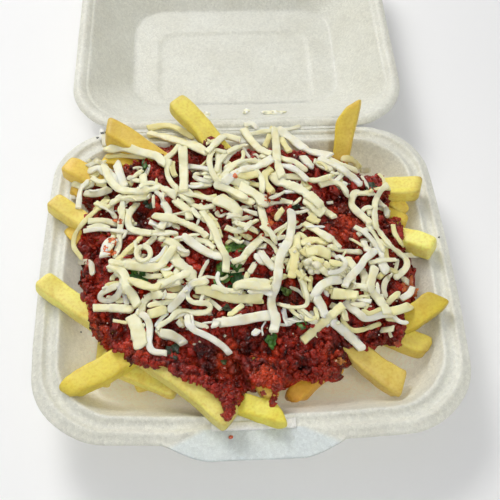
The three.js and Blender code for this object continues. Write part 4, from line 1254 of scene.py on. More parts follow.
# each strand: level (low ones lie underneath), tone, width in pixels, then the points it passes through
STRANDS = """
1 y 7 148,128 170,126 193,137
1 y 7 149,135.5 167,136.6 184.5,142.4
3 c 9.5 182.7,147.5 184,177 183.3,190.6
2 c 6 169.5,160 167,170.5 171,182 182,192 199,196 219,202 233,209.5
2 w 6 188,166.5 199,167.6 209,169.4
2 c 6 164,160 174,152 180,144
2 c 8 187,144 196,145 207,152.7
3 c 7 207,152 216,143 224.6,136.6 240,140
1 g 5 210.8,154 210.3,166 212,171.7
2 c 6 217.7,152 219,171.7 219.5,182
1 g 5 240,147.6 230.4,154.4 224.6,163
2 c 7 265.8,163.8 251.5,161 240,161.5 229,169.4 219,183
3 w 9 272,158.6 257,166.7 240,171 224.6,182
1 g 6 194.8,177.4 204.5,180.8 213.7,179.7
1 y 6 190,186 207,185.4
2 c 6 174.7,201.5 184.4,207 190,210
2 c 8 219,183 230.4,191 240,197 252,203
1 y 5 108,201 88.7,217 76.6,232 73.8,246 81,257.4
2 c 7 88.7,221 103,220.7 116,224
2 w 5 84,231 100,229 117,231 150,234.4
1 g 5 111.7,203.4 111.7,211.5 115,217
2 c 6 122.6,202 122,217 120,228.7 118.6,246 115,256
2 w 11 115,239 107,246 104.8,256
3 c 7 137.4,203.4 129,215 130,227.6 140.4,232 150,233
1 y 6 140.4,238 126,251.7 117.4,260
1 c 8 111.7,263 129,262 150,266
2 c 9 111.7,269 123,276.4 122,290
1 g 6 79.5,262 90,263 92.7,273.5
1 w 7 104.8,288 117.4,284.4
1 y 7 126,286 137.5,282 150,286
2 c 8 176.4,201.7 187,210 189.6,219
3 c 8 154,215.5 161.5,217 171.8,218.4 184.4,223 199,230 207.4,236.7
2 w 8 163.8,203.4 168.4,211.5 166,219.5 160,228.7
1 c 6 150,232.7 173,233 175.8,235
2 c 11 216,200 227.5,204.6 240,213
3 c 7.5 201.7,211.5 212,225.8 219,243 225.8,257.4 225.8,270.6
3 w 9 184.4,236.7 199,247.6 213,255 223.5,256.8
1 y 5 207.4,213 216,223 220.6,237
1 g 3 197.6,223 199.4,217
2 c 9 161,238 173,243.6 185.6,254.5
3 c 11 169.5,251.7 178.7,263 190,271.8 191,280.4
2 w 8 167,248.8 160,258 150,263
2 p 10 163,266 169,275.8
2 c 8 186.7,273 167,282 150,290
1 g 4 207.4,262 200,277
2 c 8 206,279 190,285 178.7,290
1 w 8 233,262 239,262
2 c 8 259,200 263,217 269.3,235.6
1 g 5 245.7,210 256.6,213.8
1 y 6 283,209 275.6,219.5
1 c 6 240,227.6 257,220
1 g 4 285,225.8 272,234
2 w 4 295,213 309,209.8
2 c 11 306,200 323,213.8
1 y 8 309,217 319,221.8
2 c 7 304,223.5 317.5,231 330,240
2 p 9 303,250 312,257 321,261
1 p 8 304,262 314,264
1 y 7 306,246 316,249
2 c 8 263,236.7 248.6,250.5 240,263
2 w 8 260,251.7 274.4,269
1 y 6 241,232 250,238
1 g 5 284.8,237 272.7,240
1 y 9 291.7,248.8 295,257.4 291.7,276.4
2 c 9 240,284.4 254.4,281.5 268.7,282
1 g 6 250,271.8 255,263
4 w 9.5 291,211.5 291.7,223 288.8,240 280,257.4 277.4,280 274.9,288.3 271.7,296.6 271.7,306.8 274.9,315.7 275.5,322 273.6,331
1 g 5 104,135 104.8,146
3 c 9 106,148.7 114.5,148.7 126,147.5 140.4,152 150,154.4 157,156.5 162.6,162 161.5,165
1 y 5 107.6,156.7 123,155.6 134.6,156.7 143.8,156.7
3 c 8.5 103.6,164.8 108.8,177.4 117.4,187.7 129,191 150,189.6 161.5,187.7 175.8,196
2 w 9 116.8,163.6 120,174.5 125,187.7
1 g 4 128,178.6 140.4,173.4
2 c 8 143,176 145,187
1 g 8 85.8,193.5 97,193.5 108.8,189.5
2 w 6 87.6,182 81,189 79,200 78.4,207.8
1 w 5 71,197.5 75.5,197.5
1 y 5 94,210 108,197
2 c 7 111.7,203 122,196
1 c 8 123,198 150,196
1 g 8 94.4,160 103.6,166
1 y 6 92,177 100,171.7
1 y 6 97,183 106,185
3 c 8 243.4,129.4 251.5,141 260,149.4 271,154
2 w 6 244.6,125 251.5,123.6 256.6,128
2 c 5 251.5,134.5 263,131.6 271,131
1 y 6 273,127.6 268.7,138 264.7,147
3 c 8 274.4,128.8 276,143.7 277.3,161 282,177
1 y 6 281,138 284.8,145 289.4,151.7
3 w 9 279,130 291.7,139 306,149.4 330,156.3
1 g 5 286,130 299,126.5
2 c 7 261.8,157 269.8,155 286,159.8 295,162.6 305,170
2 y 8 271,169 264.7,175 265.8,184 272,192
4 c 10.5 271,174 280,181.6 294.5,186.8 309,195.4 320.4,205
2 c 7 282.5,177 297.4,177 314.6,180.4 330,177
1 y 8 303,181.6 309,189.6
2 w 8 303,157 311.8,166.7
2 c 7 314.6,161 330,169.5
3 c 11 240,186.8 257,195.4 264,205
1 g 4 251.5,181 259,185.6
1 g 4 272,197.7 282.5,193
2 c 6 320,154 337.5,163 356.5,171
3 w 8 320,159 337.5,166.7 351.6,176.5 360,184
1 y 7 343,159 351.6,159.6 359.3,168
1 g 6 360.7,170 370.5,169.5
2 c 7 320,185 330.5,182 341,185 348,195.4
1 y 5 332.6,174.4 325.6,179.3
3 c 7.5 376,192 363.5,193.3 355,193.3 351.6,200.4 353,207.4 362,215.8 370.5,223.5
4 c 6.5 387.4,185 380.4,191 375.4,201.8 374.7,213.7 376,225.6 383,236 393,248 404.4,257.5 407,264.6 403,271.6 396,277
2 c 5 360,213 365.6,208 371,207.4
1 g 6 379.6,205 385.3,208 387.4,215.8
2 w 5.5 355,227 365.6,233.3 374.7,244 382,256
2 c 5 368,225 376,236.8 383,250
1 y 5 393,225 395,234 403,245.5
2 w 7 363.5,241.8 367.7,250
2 c 7 320,232 330.5,238 339.6,247.4
1 g 4 327,203 332.6,202.5
2 c 8 320,206.7 334,217
3 w 8 375,250.5 365,259 360,266.7 349,278.3 344.7,286.6
2 c 5 369,262.5 383,260.4 396,259.6
3 c 6 405,255.4 417.7,255.4 428,259
2 c 6 330,246 344,251 360,252
3 w 5 330,273 340.5,270 345.4,263 340.5,256.8 335.6,258
2 c 8 348,259 354,267.5
2 g 8.5 362,270 365,280 364.4,290
3 c 9 374.6,268 371.5,279.6 370.8,287.9 378.5,298.7 384.2,306.4 387.4,313.4
1 g 6 391.2,275 385.5,281.5 383.6,289 385.5,296.8
2 w 4 377.2,285.3 378.5,291
3 c 7 404,270 396.3,277.7
1 g 7 403,278 408,282.5
3 w 7 412.3,287.9 409,294 400.8,299
3 p 6.5 397.6,294 388,302.5
2 p 10 391.2,311.5 400,309.5 409.5,306
1 y 5 379.7,309.5 369.5,313.4 364,310.8
3 p 11 332,293.6 342.8,294.2 358,295.3
2 w 5.5 356,298.7 370.8,301.3
3 w 9 345.5,302 355.5,310.8 365.7,317.8 379.7,314.7 391,314
2 y 5 345.3,314.6 342.8,319.7 347.9,327.4 355.5,330.6 365.7,328.7 378.5,324.2
4 w 9.5 332.3,321.6 349,335.7 361.9,348.4
4 p 9.5 342.5,305.5 326.5,319.5 313.8,331 303,340.6
2 w 8 322,285 313.8,297.9 311.2,300.4
3 w 10 317,298.5 322,307.4 325.3,315.7
2 c 7.5 299.7,309.3 306,314.4 310.6,319.5
1 g 8 311.2,313.8 317,319
2 y 7 331,291 350,297
1 y 7 326,287 340,292
3 c 4.5 277.4,303.6 288.3,306.8 297.8,307.4 305.5,305.5 307.4,299 304.2,286.4 300.4,280
2 p 7.5 306.8,297 304.2,286.4 300.4,276
1 g 4 291.5,287.7 298.5,290.8 303,295.3
2 w 2.4 282,312 284,319 287,324.6
2 w 2 288.3,319.5 296,321.5 303,320.8
2 w 2 265.3,322 262,328 262.8,334.8
2 w 7 254.4,333.5 258,330
2 y 5 311,278 310,289.6
3 c 9 235.3,287 239.7,284.5 253,285.5 269,287
4 p 10 195.7,289 204.6,290 214,293 223.8,296.6 236.5,298.5 249,298.5 262,296.4
1 y 5 254,301.6 262.8,301.4
3 w 10.5 213.6,323.4 236.5,320.8 260,316.4 270.5,315.5
2 w 6 190.6,317 191.5,324 194.5,331
3 w 7 187.4,317 188,323.4 190.6,327 195.7,331 204.6,334.8 214,340 223.8,347 229.5,353.3
2 g 10 160,333 169.6,334.8 177.9,338.7 183.6,343.5
1 g 5 177.9,321.5 181.7,326
1 g 5 204.6,297 212.3,302.3 220.6,309.3
4 c 6 204.6,282.6 193,284.5 188,290 187.4,296.6 192,301.7 199.5,303 207,303.5 210.4,307.8 206,312 195.7,312.8 185.5,310.6 176.6,312.6 169.6,319.5 160,325.5 157.5,329
3 w 8 170,309 176,303 181,297 187,289.6 195,282.6 206,281.5
2 c 9 160,285 179,281
1 y 8 160,290 185.5,288 193,284
2 c 7 160,295 176,296.6 185.5,291.5
2 w 6.5 117.8,285.1 108.3,289.6 101.6,293.5 100.6,298.6 108,301.2 116,297 120.4,289.6 122.9,280
2 w 5.5 124.8,295 126.5,303
3 c 9.5 126,287.6 131,293 134.4,299 137.6,305.5
2 p 8 131,280 140,284 149.7,287 159,287
3 c 8 160.6,294.7 149.7,296.6 143.3,303.6 141.5,311
3 c 9.5 93.6,308 112,308 131,309.4
4 c 14 131.5,316.5 137,328.5 140.8,346
3 w 7 137,311.5 146.5,318 149.7,328.5 149,343.8 153.5,351.4 166.3,353.3
3 p 10.5 148.4,314.4 164.4,309.3
1 g 6 152.9,302 165,305.5
2 g 8 158,330 164,335.5 172,337
2 c 7 150,133 167,138 186,144 206,153
3 c 6 224,152 214,150 209.5,158 210.5,168 214,176 219,183
2 c 6 216,172 219,162 226,154 236,148 246,145
3 c 10 225,176 236,181 248,187
3 c 8 216,185 230,190 245,198
1 c 7 191.7,186 210,183.5
2 c 6 226,227.6 236,231 246,229
2 w 5 150,234.4 174,233
1 c 6 142,248 154,238
3 c 5.5 143,246 149,249 150,256 144,260.5 138,258 136.5,251 141,246.5
3 c 9 111,262 134,266 157,267 167,257 173,248
2 c 9 110,266 124,274 126.5,292
2 c 7 232,262 245,257
2 w 10 380,259 386,271
3 w 9 312,299 320,287 330,281 341,280
1 p 10 296,236 295,255 291,272
2 p 8 303,243 314,240 326,243
2 p 10 306,253 318,251 330,256
1 p 9 307,263 318,267 331,266
2 y 7 296,272 306,279
1 y 7 322,272 336,268
2 p 7 330,262 342,264
2 c 7 226,168 238,164 250,166
2 y 8 232,172 244,176 256,174
1 c 7 222,196 234,204 240,214
2 c 6 256,170 262,180 262,192
1 y 6 240,178 252,184 268,186
2 w 7 284,165 296,170 306,179
1 c 6 266,205 280,201 292,203
2 g 6 88,166 98,163 106,168
2 w 7 90,171 99,168 104,173
2 c 6 92,178 100,182 108,180
2 c 7 74,184 84,187 92,184
1 w 6 108,170 116,180 118,190
2 c 6 140,187 150,183 160,186
2 w 6 160,196 172,192 184,196
1 y 5 196,192 206,197 216,196
2 c 6 190,204 202,208 212,206
2 g 5 228,214 238,219 250,217
1 c 6 234,222 246,226 258,232
2 c 6 262,226 270,232 276,242
1 w 6 246,243 256,247 266,246
2 w 6 256,256 262,262 270,262
1 c 7 344,268 352,275 352,284
2 c 6 346,291 356,286 366,287
1 y 6 378,278 388,270 396,272
2 c 7 331,305 342,311 346,320
1 w 5 302,316 312,322 318,320
2 c 7 320,268 332,276 344,275
1 p 6 96,203 106,207 114,203
1 c 6 88,229 98,226 108,228
2 c 5 127,210 132,222
1 w 6 150,222 160,226 170,224
1 c 6 196,240 206,242 214,248
1 y 5 112,232 118,240 118,250
2 w 5 146,262 158,258 166,248
2 c 6 136,270 148,276 160,276
1 c 6 160,281 172,278 184,282
1 c 6 214,287 226,290 238,291
2 w 6 250,292 262,291 270,294
1 c 6 118,301 128,300 136,302
2 c 6 150,305 162,303 172,301
1 w 6 172,318 182,314 190,315
1 c 5 206,290 216,288 226,292
"""


def curve(points, step):
    """Even points along a smooth curve through the given ones."""
    p = np.array(points, float)
    if len(p) == 2:
        mid = p.mean(0) + np.array([-(p[1] - p[0])[1], (p[1] - p[0])[0]]) * 0.03
        p = np.array([p[0], mid, p[1]])
    q = np.vstack([2 * p[0] - p[1], p, 2 * p[-1] - p[-2]])
    out = []
    for k in range(1, len(q) - 2):
        a, b, c, d = q[k - 1], q[k], q[k + 1], q[k + 2]
        n = max(3, int(np.linalg.norm(c - b) / step * 3))
        t = np.linspace(0, 1, n, endpoint=False)[:, None]
        out.append(0.5 * (2 * b + (c - a) * t + (2 * a - 5 * b + 4 * c - d) * t ** 2 + (3 * b - a - 3 * c + d) * t ** 3))
    out = np.vstack(out + [p[-1:]])
    seg = np.r_[0, np.cumsum(np.hypot(*np.diff(out, axis=0).T))]
    n = max(4, int(seg[-1] / step) + 1)
    s = np.linspace(0, seg[-1], n)
    return np.stack([np.interp(s, seg, out[:, 0]), np.interp(s, seg, out[:, 1])], 1)


def relax(z_low, sag, rounds=70):
    """A limp strand over supports: it bridges hollows and rests on high spots."""
    z = z_low.copy()
    n = len(z)
    if n < 3:
        return z
    for _ in range(rounds):
        m = z.copy()
        m[1:-1] = 0.5 * (z[:-2] + z[2:]) - sag
        m[0] = z[1] - 0.6 * sag + 0.35 * (z[1] - z[2] if n > 2 else 0)
        m[-1] = z[-2] - 0.6 * sag + 0.35 * (z[-2] - z[-3] if n > 2 else 0)
        z = np.maximum(z_low, m)
    for _ in range(5):
        m = z.copy()
        m[1:-1] = 0.25 * z[:-2] + 0.5 * z[1:-1] + 0.25 * z[2:]
        z = np.maximum(z_low - 0.5, m)
    return z


def held_up(x, y):
    """How low a strand may hang beside the heap."""
    f, th = polar(x, y)
    low = np.where(y > 10, H - 1.0, H - 9.0)
    low = np.where((x < -60) & (y > -60), H - 3.0, low)
    return np.where(f < 1.22, low, -1e3)


def strand_mesh(path, width, thick, normal, seed, tone, bag, twist=0.22, rag=0.0):
    r = np.random.default_rng(seed)
    n = 12
    d = np.gradient(path, axis=0)
    d /= np.linalg.norm(d, axis=1)[:, None] + 1e-9
    nrm = normal - (normal * d).sum(1)[:, None] * d
    nrm /= np.linalg.norm(nrm, axis=1)[:, None] + 1e-9
    k = len(path)
    s = np.linspace(0, 1, k)
    roll = twist * (noise2(s * 3.0 + r.uniform(0, 50), np.full(k, 0.5), seed) + 0.4 * r.normal())
    side = np.cross(d, nrm)
    side, nrm = side * np.cos(roll)[:, None] + nrm * np.sin(roll)[:, None], nrm * np.cos(roll)[:, None] - side * np.sin(roll)[:, None]
    phi = 2 * math.pi * (np.arange(n) + 0.5) / n
    e = 2 / 4.2
    px, py = np.sign(np.cos(phi)) * np.abs(np.cos(phi)) ** e, np.sign(np.sin(phi)) * np.abs(np.sin(phi)) ** e
    w = width * (1 + 0.13 * noise2(s * k / 7 + r.uniform(0, 50), np.full(k, 1.5), seed + 1))
    t = thick * (1 + 0.15 * noise2(s * k / 6 + r.uniform(0, 50), np.full(k, 2.5), seed + 2))
    rows = [(path[i], w[i], t[i], d[i], side[i], nrm[i]) for i in range(k)]
    # each end is torn thin or cut blunt, but soft
    soft = [(0.14, 0.985, 0.97), (0.27, 0.93, 0.89), (0.36, 0.80, 0.70)]
    thin = [(0.5, 0.88, 0.82), (1.1, 0.66, 0.58), (1.6, 0.36, 0.34)]
    e0, e1 = (thin if r.uniform() < 0.45 else soft), (thin if r.uniform() < 0.45 else soft)
    a, b = rows[0], rows[-1]
    cut0, cut1 = r.uniform(-0.45, 0.45), r.uniform(-0.45, 0.45)
    ends0 = [(a[0] - a[3] * o, a[1] * q, a[2] * h, a[3], a[4], a[5]) for o, q, h in e0[::-1]]
    ends1 = [(b[0] + b[3] * o, b[1] * q, b[2] * h, b[3], b[4], b[5]) for o, q, h in e1]
    rows = ends0 + rows + ends1
    pts = []
    kk = len(rows)
    for i, (c, ww, tt, dd, ss, nn) in enumerate(rows):
        fall0, fall1 = max(0.0, 1 - i / 5), max(0.0, 1 - (kk - 1 - i) / 5)
        along = px * ww / 2 * (cut0 * fall0 + cut1 * fall1)
        if rag and (fall1 > 0.4 or fall0 > 0.4):
            along = along + rag * noise2(px * 3 + 7, np.full(n, float(seed % 97)), seed + 4) * (1 if fall1 > 0.4 else -1)
        pts.append(c + (px * ww / 2)[:, None] * ss + (py * tt / 2)[:, None] * nn + along[:, None] * dd)
    pts = np.array(pts)
    q = pts / 2.3
    jit = 0.09 * noise3(q[..., 0], q[..., 1], q[..., 2], seed + 3)
    pts = pts + jit[..., None] * (px[None, :, None] * np.array([r_[4] for r_ in rows])[:, None] + py[None, :, None] * np.array([r_[5] for r_ in rows])[:, None])
    flat = np.vstack([pts.reshape(-1, 3), (pts[0].mean(0) - rows[0][3] * 0.08)[None], (pts[-1].mean(0) + rows[-1][3] * 0.08)[None]])
    base = lin(TONES[tone])
    g = noise3(pts[..., 0] / 6, pts[..., 1] / 6, pts[..., 2] / 6, seed + 8)
    col = base[None, None] * (1 + 0.04 * g[..., None]) * (1 + 0.025 * r.normal())
    warm = np.clip(0.15 + 0.35 * g + 0.25 * r.uniform(), 0, 0.6)[..., None]
    col = col * (1 - warm) + lin((228, 220, 172)) * warm * 0.6 + col * warm * 0.4
    col = np.vstack([col.reshape(-1, 3), col[0].mean(0)[None], col[-1].mean(0)[None]])
    bag.add(flat, loft_faces(kk, n, kk * n, kk * n + 1), np.clip(col, 0, 0.95))


def stamp(grid, path, side, width, top):
    for q in np.linspace(-0.5, 0.5, max(3, int(width / 0.5))):
        p = path + side * (q * width * 0.92)
        i = np.clip(np.round((p[:, 0] - GX[0]) / CELL).astype(int), 0, len(GX) - 1)
        j = np.clip(np.round((p[:, 1] - GY[0]) / CELL).astype(int), 0, len(GY) - 1)
        np.maximum.at(grid, (i, j), top - 0.35 * abs(q) * 1.2)


def lay_seen(points, w_px, seed, tone, bag, grid, rag=0.0):
    """A strand that follows the given sight lines and lies on whatever is below it."""
    uv = curve(points, 1.35)
    wide = wide_max_local(grid)
    p, d = seat(wide, uv[:, 0], uv[:, 1])
    depth = ((p - CAM) @ FWD).mean()
    w_mm = w_px * depth / FOCAL
    dirpx = np.gradient(uv, axis=0)
    hz = float(np.mean(np.abs(dirpx[:, 0]) / (np.hypot(dirpx[:, 0], dirpx[:, 1]) + 1e-9)))
    thick = float(np.clip(0.46 * w_mm, 0.9, 2.3))
    width = max(0.8, (w_mm - hz * 0.5 * thick) / (1 - 0.18 * hz))
    for _ in range(2):
        low = np.maximum(look_up(wide, p[:, 0], p[:, 1]) + thick / 2 - 0.25, held_up(p[:, 0], p[:, 1]))
        low = np.maximum(low, np.percentile(low, 70) - 6)
        z = np.minimum(relax(low, 0.02), look_up(CAP, p[:, 0], p[:, 1]) + 0.3 * thick)
        t = (z - CAM[2]) / d[:, 2]
        p = CAM + d * t[:, None]
    gx = (look_up(wide, p[:, 0] + 1.6, p[:, 1]) - look_up(wide, p[:, 0] - 1.6, p[:, 1])) / 3.2
    gy = (look_up(wide, p[:, 0], p[:, 1] + 1.6) - look_up(wide, p[:, 0], p[:, 1] - 1.6)) / 3.2
    nrm = np.stack([-0.45 * np.clip(gx, -1, 1), -0.45 * np.clip(gy, -1, 1), np.ones(len(p))], 1)
    strand_mesh(p, width, thick, nrm, seed, tone, bag, rag=rag)
    dd = np.gradient(p[:, :2], axis=0)
    dd /= np.linalg.norm(dd, axis=1)[:, None] + 1e-9
    side = np.stack([-dd[:, 1], dd[:, 0], np.zeros(len(p))], 1)
    stamp(grid, p, side, width, p[:, 2] + thick / 2)


def wide_max_local(grid):
    return np.maximum(np.maximum(np.roll(grid, 1, 0), np.roll(grid, -1, 0)), np.maximum(np.maximum(np.roll(grid, 1, 1), np.roll(grid, -1, 1)), grid))


def lay_drop(x, y, yaw, length, width, bendy, seed, tone, bag, grid):
    """A strand dropped from above."""
    n = max(4, int(length / 0.9))
    s = np.linspace(-0.5, 0.5, n)
    ang = yaw + bendy * s
    step = length / (n - 1)
    px = x + np.r_[0, np.cumsum(np.cos(ang[:-1]) * step)] - length / 2 * math.cos(yaw)
    py = y + np.r_[0, np.cumsum(np.sin(ang[:-1]) * step)] - length / 2 * math.sin(yaw)
    wide = wide_max_local(grid)
    thick = float(np.clip(0.5 * width, 0.8, 2.0))
    low = look_up(wide, px, py) + thick / 2 - 0.25
    if np.ptp(low) > 0.5 * length:
        return False
    z = relax(low, 0.02)
    if (z > look_up(CAP, px, py)).any():
        return False
    p = np.stack([px, py, z], 1)
    strand_mesh(p, width, thick, np.tile([0, 0, 1.0], (n, 1)), seed, tone, bag, rag=0.3)
    dd = np.gradient(p[:, :2], axis=0)
    dd /= np.linalg.norm(dd, axis=1)[:, None] + 1e-9
    side = np.stack([-dd[:, 1], dd[:, 0], np.zeros(n)], 1)
    stamp(grid, p, side, width, p[:, 2] + thick / 2)
    return True


strands = []
for line in STRANDS.strip().splitlines():
    a = line.split()
    strands.append((int(a[0]), a[1], float(a[2]), [tuple(map(float, q.split(","))) for q in a[3:]]))
order = sorted(range(len(strands)), key=lambda k: (strands[k][0], h32(k, 5, 9)))

cheese_low, cheese_top, cheese_fill = Bag(), Bag(), Bag()
pile = GRID.copy()
# cheese lies no higher than this
CAP = wide_max(GRID, 4) + 5.0
for _ in range(3):
    CAP = (CAP + np.roll(CAP, 3, 0) + np.roll(CAP, -3, 0) + np.roll(CAP, 3, 1) + np.roll(CAP, -3, 1)) / 5
CAP = np.maximum(CAP, GRID + 2.5)
# where bare chili shows: (u, v, half width, half height)
CLEAR = [(158, 175, 9, 10), (202, 151, 9, 5), (194, 174, 3, 6), (95, 202, 13, 9), (166, 212, 15, 5), (182, 232, 16, 5), (139, 240, 12, 6), (158, 246, 9, 7), (203, 266, 18, 18), (93, 249, 12, 11),
         (93, 277, 17, 19), (239, 209, 6, 6), (286, 156, 6, 3), (308, 172, 16, 5), (330, 198, 19, 10), (282, 200, 9, 9), (259, 230, 7, 6), (337, 228, 18, 18), (365, 203, 7, 5), (391, 234, 8, 11),
         (262, 273, 13, 8), (290, 293, 13, 11), (355, 287, 6, 4), (331, 303, 7, 6), (394, 288, 14, 9), (367, 308, 7, 4), (253, 309, 14, 8), (140, 214, 8, 11), (100, 312, 12, 14), (225, 308, 9, 8), (138, 275, 10, 8)]


def is_clear(u, v):
    return any(((u - a) / c) ** 2 + ((v - b) / d) ** 2 < 1.25 for a, b, c, d in CLEAR)


def fill_shreds(count, seed, bag, low, high, slim, wide):
    """Short bits of cheese dropped where the photographed heap is dense."""
    r = np.random.default_rng(seed)
    done = 0
    while done < count:
        u, v = r.uniform(84, 402), r.uniform(136, 350)
        if v > 332 and r.uniform() < 0.9:
            continue
        if u < 105 and v > 275 or is_clear(u, v) or not within(CHILI_EDGE, np.array([u]), np.array([v]))[0]:
            continue
        p, d = seat(pile, np.array([u]), np.array([v]))
        if lay_drop(p[0, 0], p[0, 1], r.uniform(0, math.pi), r.uniform(low, high), r.uniform(slim, wide), r.normal(0, 0.9), seed * 10 + done, "gcycpw"[int(r.integers(6))], bag, pile):
            done += 1


fill_shreds(150, 301, cheese_fill, 4, 13, 1.5, 3.6)


def lay_level(levels):
    for k in order:
        level, tone, w_px, pts = strands[k]
        if level in levels:
            lay_seen(pts, w_px, 2000 + 7 * k, tone, cheese_low if level <= 2 else cheese_top, pile, rag=0.5 if tone in "gp" else 0.2)


lay_level((1,))
# crumbly lumps of cheese
CRUMBLE = [(303.8, 242.4, 2.4), (311.4, 242.4, 2.6), (306.3, 252.7, 3.0), (316.5, 250, 3.0), (324, 255, 2.8), (309, 262.9, 3.0), (316.5, 265.4, 3.1), (326.7, 265.4, 2.6), (319, 271.8, 2.6), (311.4, 271.8, 2.4),
           (334.4, 266.7, 2.2), (299, 248, 2.0), (301, 258, 2.2), (330, 249, 2.2), (338, 259, 1.8), (322, 243, 2.0), (300, 266, 2.0), (253.6, 163, 2.2), (246, 168, 2.4), (240, 176, 2.4), (249, 178, 2.6), (233, 181, 2.0),
           (95, 166, 2.6), (101, 172, 2.2), (104, 163, 2.0), (89, 162, 1.8), (206, 212, 1.8), (213, 208, 1.7), (201, 207, 1.6), (218, 214, 1.6), (386, 269, 2.2), (380, 265, 2.2), (282, 181, 1.8), (305, 186, 1.8)]
rk = np.random.default_rng(91)
crumbs = list(CRUMBLE)
for u, v, q in CRUMBLE:
    for _ in range(3):
        crumbs.append((u + rk.normal(0, 4.5), v + rk.normal(0, 4.0), rk.uniform(0.5, 1.3)))
while len(crumbs) < 330:
    u, v = rk.uniform(84, 402), rk.uniform(136, 345)
    if not is_clear(u, v) or rk.uniform() < 0.12:
        crumbs.append((u, v, rk.uniform(0.35, 1.0)))
cs = np.array(crumbs)
cp, _ = seat(pile, cs[:, 0], cs[:, 1])
cp[:, 2] = look_up(pile, cp[:, 0], cp[:, 1]) + cs[:, 2] * 0.3
ok = within(CHILI_EDGE, cs[:, 0], cs[:, 1]) | (np.arange(len(cs)) < len(CRUMBLE))
cp, cs = cp[ok], cs[ok]


def crumb_colour(p, idx, r):
    n = idx.max() + 1
    a = lin((240, 234, 184)) + (lin((232, 228, 206)) - lin((240, 234, 184))) * r.uniform(0, 1, (n, 1))
    return np.clip(a[idx] * (1 + 0.10 * noise3(p[:, 0] / 1.6, p[:, 1] / 1.6, p[:, 2] / 1.6, 92))[:, None], 0, 0.95)


crumb_ob = lumps("cheese_crumbs", cp, up_normals(len(cp), 0.1), cs[:, 2], ICO2, 0.0, 93, CHEESE, crumb_colour, squash=0.7, rough=0.5)
ball_top(pile, cp, cs[:, 2] * 0.85)
lay_level((2,))
fill_shreds(60, 302, cheese_fill, 4, 10, 1.2, 2.6)
lay_level((3,))
lay_level((4,))
low_ch = cheese_low.make("cheese_strands_under", CHEESE)
top_ch = cheese_top.make("cheese_strands_over", CHEESE)
fill_ch = cheese_fill.make("cheese_shreds", CHEESE)


# ------------------------------------------------------------------ stray crumbs on the foam
def small_bits(name, items, mat, body, seed):
    """Crumbs at given places: (x, y, z of the surface, radius, colour)."""
    c = np.array([[i[0], i[1], i[2]] for i in items], float)
    rad = np.array([i[3] for i in items], float)
    cols = np.array([lin(i[4]) for i in items])
    nrm = np.tile([0.0, 0.0, 1.0], (len(items), 1))
    ob = lumps(name, c + nrm * (rad * 0.45)[:, None], nrm, rad, ICO2, 0.0, seed, mat, lambda p, idx, r: cols[idx] * (1 + 0.1 * r.normal(size=(len(idx), 1))).clip(0.8, 1.2), inside=False)
    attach(ob, body)
    return ob


lid_tree = tree_of(lid_ob)
tray_tree = tree_of(tray_ob)


def on_tree(tree, u, v):
    d = ray(np.array([u]), np.array([v]))[0]
    hit = tree.ray_cast(Vector(CAM), Vector(d / np.linalg.norm(d)))
    return hit[0]


flakes = Bag()
for k, (u, v, su, sv, turn) in enumerate([(205.5, 114, 10.5, 5, -0.25), (246, 110.6, 6.5, 4.5, 0.1), (273, 112, 21, 4.5, -0.06)]):
    patch(u, v, su, sv, 840 + 5 * k, (252, 250, 224), flakes, turn, curl=0.25, lobes=2, thick=0.9, lift=0.8, grid=FOAM_GRID)
lid_bits = flakes.make("lid_crumbs", CHEESE, inside=False)
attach(lid_bits, "lid")
# painted shade: the first two dark patches paint the shade in the notch torn beside the hinge lug; the other three are
# small dark marks on the foam
notch = Bag()
for k, (u, v, su, sv, turn) in enumerate([(102.3, 133.3, 3.4, 3.0, 0.3), (105.2, 132.2, 3.4, 1.3, -0.4), (97.5, 137.8, 2.6, 2.0, -0.4), (439, 237.2, 2.0, 1.5, 0.2), (81, 332, 1.7, 1.2, 0.2)]):
    patch(u, v, su, sv, 820 + 5 * k, (52, 52, 48), notch, turn, curl=0.05, lobes=3, thick=0.3, lift=0.25, grid=FOAM_GRID)
notch_ob = notch.make("notch_shade_and_specks", STAIN_AND_NOTCH_SHADE, inside=False)
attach(notch_ob, "tray")
p = on_tree(tray_tree, 231, 437.5)
tab_bit = small_bits("tab_crumb", [(p[0], p[1], p[2], 1.25, (206, 96, 62))], SAUCE, "tray", 82)

stain = Bag()
for k, (u, v, su, sv, turn) in enumerate([(118.5, 221, 10, 5, 0.2), (113, 241, 9, 8, 0.5), (106.5, 250, 8, 8, -0.3), (112, 252.5, 9, 6, 0.1), (89, 264, 6, 5, 0.1), (268, 197.5, 6, 10, 0.2), (270, 223, 6, 9, 0.3), (273, 214, 4, 5, 0.0), (235, 176, 5, 5, 0.0)]):
    patch(u, v, su, sv, 860 + 5 * k, (214, 108, 46), stain, turn, curl=0.1, lobes=3, thick=0.25, lift=0.12, grid=pile)
specks = stain.make("chili_flakes", STAIN_AND_NOTCH_SHADE)
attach(specks, "tray")

# thin red sauce that has run onto fries beside the chili
sauce = Bag()
for k, (u, v, su, sv, turn, col) in enumerate([
    (408, 284, 12, 16, 0.2, (196, 92, 22)), (414, 292, 8, 10, 0.5, (208, 120, 30)), (398, 344, 8, 6, 0.3, (150, 60, 24)), (263, 393, 6, 5, 0.2, (150, 54, 26)),
    (340, 361, 10, 6, 0.2, (184, 110, 30)), (88, 262, 8, 7, 0.4, (176, 84, 34)),
]):
    patch(u, v, su, sv, 900 + 5 * k, col, sauce, turn, curl=0.15, lobes=4, thick=0.3, lift=0.12)
sauce_ob = sauce.make("sauce_film", SAUCE)

